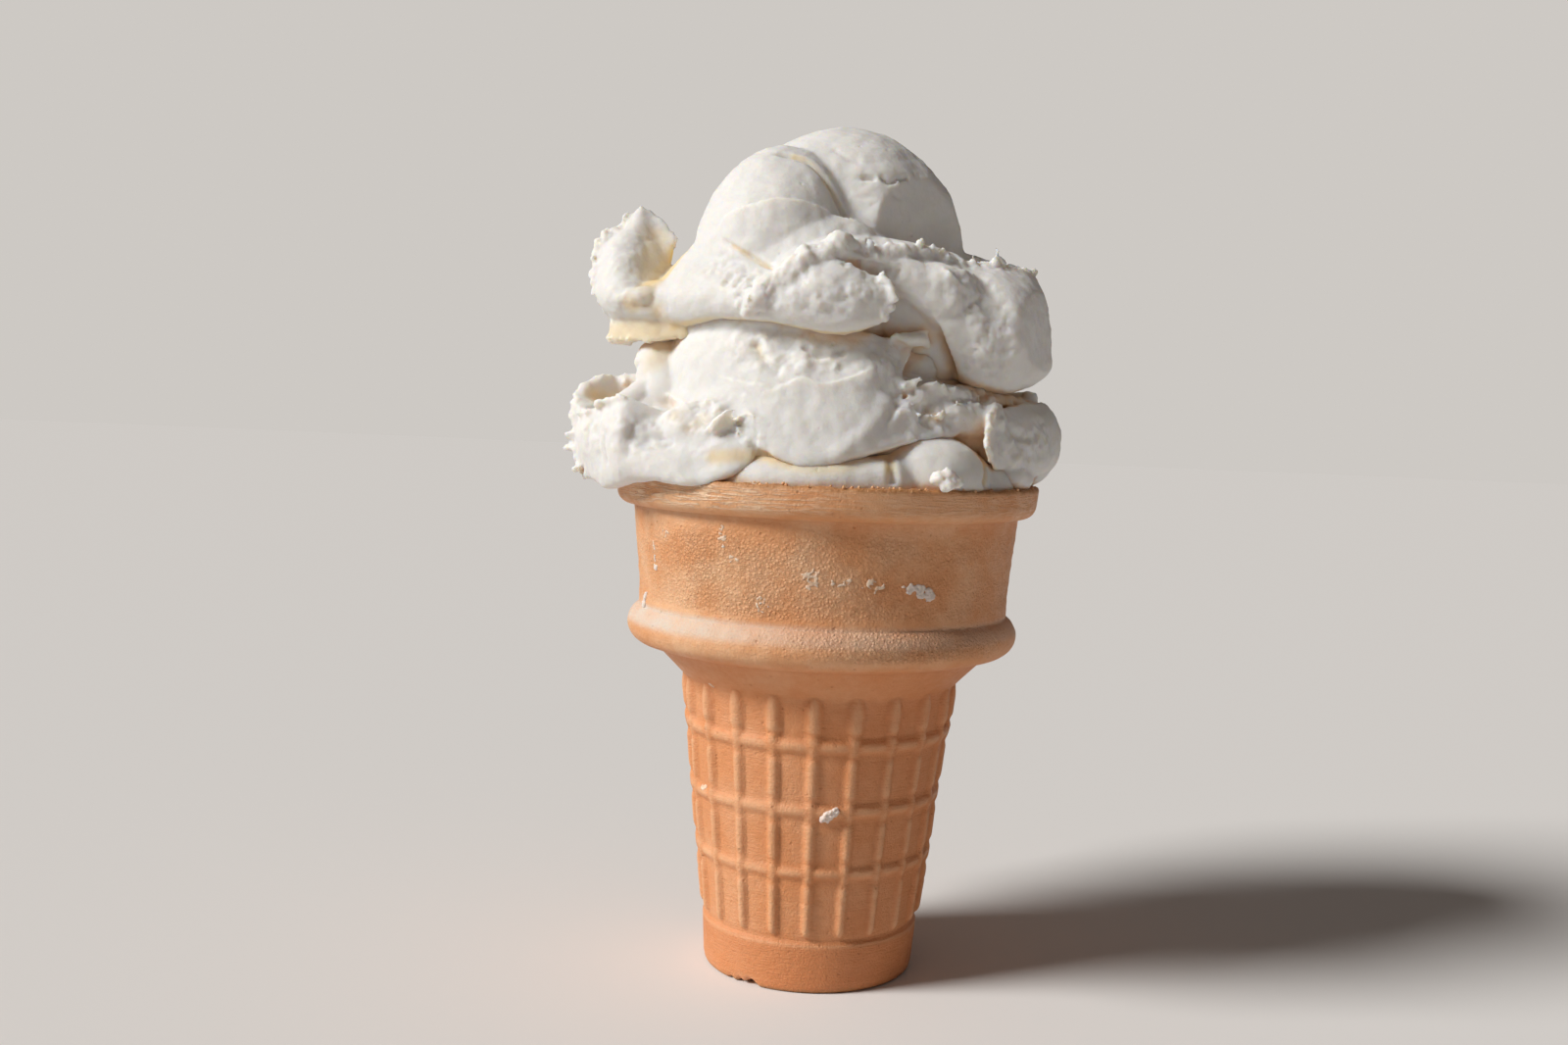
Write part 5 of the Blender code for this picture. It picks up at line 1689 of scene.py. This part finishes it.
# clouds from pale to toasted, with dark grain; rib tops lighter as a painted highlight and hollows darker
# as painted shade
clouds = node(tree, "ShaderNodeTexNoise", Vector=place, Scale=0.13, Detail=3.0,
              Roughness=0.55).outputs["Fac"]
colour = blend_colours(tree, spread(tree, clouds, 0.35, 0.68), BAKED, PALE_AND_HIGHLIGHT)
colour = blend_colours(tree, mask_of(tree, "toasted_and_shaded"), colour, TOASTED_AND_SHADED)
colour = blend_colours(tree, scaled(tree, outputs["Mottle"], 0.18), colour, DEEP_GRAIN_AND_SHADE)
colour = blend_colours(tree, scaled(tree, mask_of(tree, "crest"), 0.45), colour, PALE_AND_HIGHLIGHT)
colour = blend_colours(tree, scaled(tree, mask_of(tree, "painted_hollow_shade"), 0.3), colour, DEEP_GRAIN_AND_SHADE)
colour = blend_colours(tree, scaled(tree, outputs["Pits"], 0.4), colour, DEEP_GRAIN_AND_SHADE)
print("the baked colour takes", len(tree.nodes), "nodes")

# %% Pebbles, powder and flakes
# pebbled upper wall: swollen grains with darker seams between
pebbles = node(tree, "ShaderNodeTexVoronoi", Vector=place, Scale=1.8)
seam = spread(tree, pebbles.outputs["Distance"], 0.15, 0.6)
ragged = node(tree, "ShaderNodeTexNoise", Vector=place, Scale=2.9, Detail=4.0,
              Roughness=0.65).outputs["Fac"]
pebble_mask = mask_of(tree, "pebble")
seam = scaled(tree, seam, spread(tree, ragged, 0.35, 0.6))
seam = scaled(tree, seam, pebble_mask)
colour = blend_colours(tree, scaled(tree, seam, 0.45), colour, DEEP_GRAIN_AND_SHADE)
# powdery bead, paler on its lit left side, partly as a painted highlight
dust_and_highlight = scaled(tree, mask_of(tree, "powder_and_highlight"), spread(tree, ragged, 0.25, 0.55, 0.55, 1.0))
colour = blend_colours(tree, dust_and_highlight, colour, POWDER_AND_HIGHLIGHT)
# browned edges
browned = scaled(tree, mask_of(tree, "browned"), spread(tree, ragged, 0.3, 0.6, 0.5, 1.0))
colour = blend_colours(tree, browned, colour, BROWNED)
# shiny flakes drawn out along the rim band, painted paler, partly as a painted highlight
streaks = node(tree, "ShaderNodeTexNoise", Vector=object_place(tree, (0.30, 0.30, 3.2)), Scale=1.0,
               Detail=3.0, Roughness=0.6).outputs["Fac"]
flaky = scaled(tree, mask_of(tree, "flaky"), spread(tree, streaks, 0.46, 0.58))
colour = blend_colours(tree, scaled(tree, flaky, 0.75), colour, FLAKE_AND_HIGHLIGHT)
tree.links.new(colour, shader.inputs["Base Color"])
print("with its pebbles, powder and flakes it takes", len(tree.nodes), "nodes")

# %% Wafer gloss and relief
dull = spread(tree, outputs["Mottle"], 0.0, 1.0, 0.50, 0.64)
rough = sum_up(tree, "SUBTRACT", dull, scaled(tree, flaky, 0.3))
rough = sum_up(tree, "ADD", rough, scaled(tree, dust_and_highlight, 0.25))
tree.links.new(rough, shader.inputs["Roughness"])
shader.inputs["Subsurface Weight"].default_value = 0.12
shader.inputs["Subsurface Radius"].default_value = (1.0, 0.45, 0.2)
shader.inputs["Subsurface Scale"].default_value = 1.0 * MM
# the relief: seams, swollen grain, flakes and the faint rings that the mould left
height = sum_up(tree, "ADD", outputs["Height"], scaled(tree, seam, -0.26))
swell = sum_up(tree, "ADD", scaled(tree, pebble_mask, 0.26), 0.17)
height = sum_up(tree, "ADD", height, scaled(tree, ragged, swell))
height = sum_up(tree, "ADD", height, scaled(tree, flaky, 0.14))
turning = scaled(tree, mask_of(tree, "toasted_and_shaded"), streaks)
height = sum_up(tree, "ADD", height, scaled(tree, turning, 0.16))
relief(tree, shader, height)
print("the wafer has", len(baked_wafer.node_tree.nodes), "nodes")

# %% [markdown]
# ## Dried ice cream
# A drip that dried is thin and takes the wafer's colour through it. Only where it is thick
# is it still white, and a mask from the smears tells which is which.

# %% Dried ice cream
THIN_FILM = (0.82, 0.62, 0.48, 1)
THINNER_FILM = (0.78, 0.50, 0.34, 1)
THICK_FILM = (0.74, 0.64, 0.58, 1)

dried_ice_cream, tree, shader = new_material("dried ice cream")
outputs = grain(tree, object_place(tree), size=0.25, pit_share=0.12)
colour = blend_colours(tree, outputs["Mottle"], THIN_FILM, THINNER_FILM)
colour = blend_colours(tree, mask_of(tree, "thick"), colour, THICK_FILM)
tree.links.new(colour, shader.inputs["Base Color"])
shader.inputs["Roughness"].default_value = 0.7
shader.inputs["Subsurface Weight"].default_value = 0.4
shader.inputs["Subsurface Radius"].default_value = (1.0, 0.7, 0.45)
shader.inputs["Subsurface Scale"].default_value = 0.6 * MM
relief(tree, shader, outputs["Height"])
print("materials:", [material.name for material in (ice_cream, baked_wafer, dried_ice_cream)])

# %% [markdown]
# ## Floor
# The cone stands on a plain pale floor, wide enough that its far edge meets the backdrop
# softly. It has no shine, or it would mirror the sky at the far end.

# %% Floor
FLOOR_SIZE = 8.0
FLOOR_COLOUR = (0.80, 0.785, 0.77, 1)

bpy.ops.object.select_all(action="DESELECT")
bpy.ops.mesh.primitive_plane_add(size=FLOOR_SIZE, location=(0, 0, 0))
floor = bpy.context.object
floor.name = "floor"
material = bpy.data.materials.new("floor")
material.use_nodes = True
shader = material.node_tree.nodes["Principled BSDF"]
shader.inputs["Base Color"].default_value = FLOOR_COLOUR
shader.inputs["Roughness"].default_value = 0.9
shader.inputs["Specular IOR Level"].default_value = 0.0
floor.data.materials.append(material)
print("the floor is", FLOOR_SIZE, "m wide")

# %% [markdown]
# ## Light
# The light is soft daylight from a big window on the left, so one broad sun lamp with a
# wide angle does it. A weak warm panel in front fills the shadows, and the world adds a
# little from all round.

# %% Window and fill light
def area_light(name, place, target, size, power, colour):
    data = bpy.data.lights.new(name, "AREA")
    data.shape = "SQUARE"
    data.size = size
    data.energy = power
    data.color = colour
    lamp = bpy.data.objects.new(name, data)
    bpy.context.scene.collection.objects.link(lamp)
    lamp.location = place
    lamp.rotation_euler = (Vector(target) - Vector(place)).to_track_quat("-Z", "Y").to_euler()


def window_light(azimuth, elevation, softness, strength):
    """Even daylight from one side, as from a big window."""
    data = bpy.data.lights.new("window", "SUN")
    data.angle = math.radians(softness)
    data.energy = strength
    data.color = (1.0, 0.985, 0.96)
    lamp = bpy.data.objects.new("window", data)
    bpy.context.scene.collection.objects.link(lamp)
    lamp.rotation_euler = (math.radians(90.0 - elevation), 0.0, math.radians(azimuth))


window_light(azimuth=-68.0, elevation=36.0, softness=20.0, strength=3.6)
area_light("fill", place=(0.7, -0.9, 0.25), target=(0, 0, 0.08), size=0.9, power=0.17,
           colour=(1.0, 0.75, 0.62))

# %% [markdown]
# ## World and backdrop
# The world's own light is faint and warm. What the camera sees behind the floor is a plain
# backdrop in the tone of the far floor. The Light Path node keeps the two apart, so the
# backdrop doesn't light the cone.

# %% World
AROUND_COLOUR = (1.0, 0.87, 0.79, 1)
AROUND_STRENGTH = 0.105
BACKDROP_COLOUR = (0.612, 0.584, 0.552, 1)

world = bpy.data.worlds.new("studio")
bpy.context.scene.world = world
world.use_nodes = True
tree = world.node_tree
around = tree.nodes["Background"]
around.inputs["Color"].default_value = AROUND_COLOUR
around.inputs["Strength"].default_value = AROUND_STRENGTH
backdrop = node(tree, "ShaderNodeBackground", Color=BACKDROP_COLOUR, Strength=1.0)
seen = node(tree, "ShaderNodeLightPath").outputs["Is Camera Ray"]
mixed = node(tree, "ShaderNodeMixShader", i0=seen, i1=around.outputs[0], i2=backdrop.outputs[0])
tree.links.new(mixed.outputs[0], tree.nodes["World Output"].inputs["Surface"])
print("the world has", len(tree.nodes), "nodes")

# %% [markdown]
# ## Hand over
# Each finished piece is shaded smooth, gets its material and is parented to the body that it
# rides on, and the part of the imported model that it stands for is hidden.

# %% Finish
bpy.context.scene.view_settings.view_transform = "Standard"
# piece, material, slot, and the part that it stands for
PIECES = ((wafer, baked_wafer, "wafer", "wafer_cup"),
          (upper_ice_cream, ice_cream, "upper_ice_cream", "upper_scoop"),
          (lower_ice_cream, ice_cream, "lower_ice_cream", "lower_scoop"),
          (cup_ice_cream, ice_cream, "filling_ice_cream", "cup_filling"),
          (smears, dried_ice_cream, "upper_ice_cream", None),
          (rim_crumb, ice_cream, "upper_ice_cream", None),
          (edge_crumbs, baked_wafer, "wafer", None))
for piece, material, slot, stands_for in PIECES:
    select_only(piece)
    bpy.ops.object.shade_smooth()
    piece.data.materials.clear()
    piece.data.materials.append(material)
    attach(piece, "root")
    if stands_for:
        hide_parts(stands_for)
    print(piece.name, "has", triangle_count(piece), "triangles")
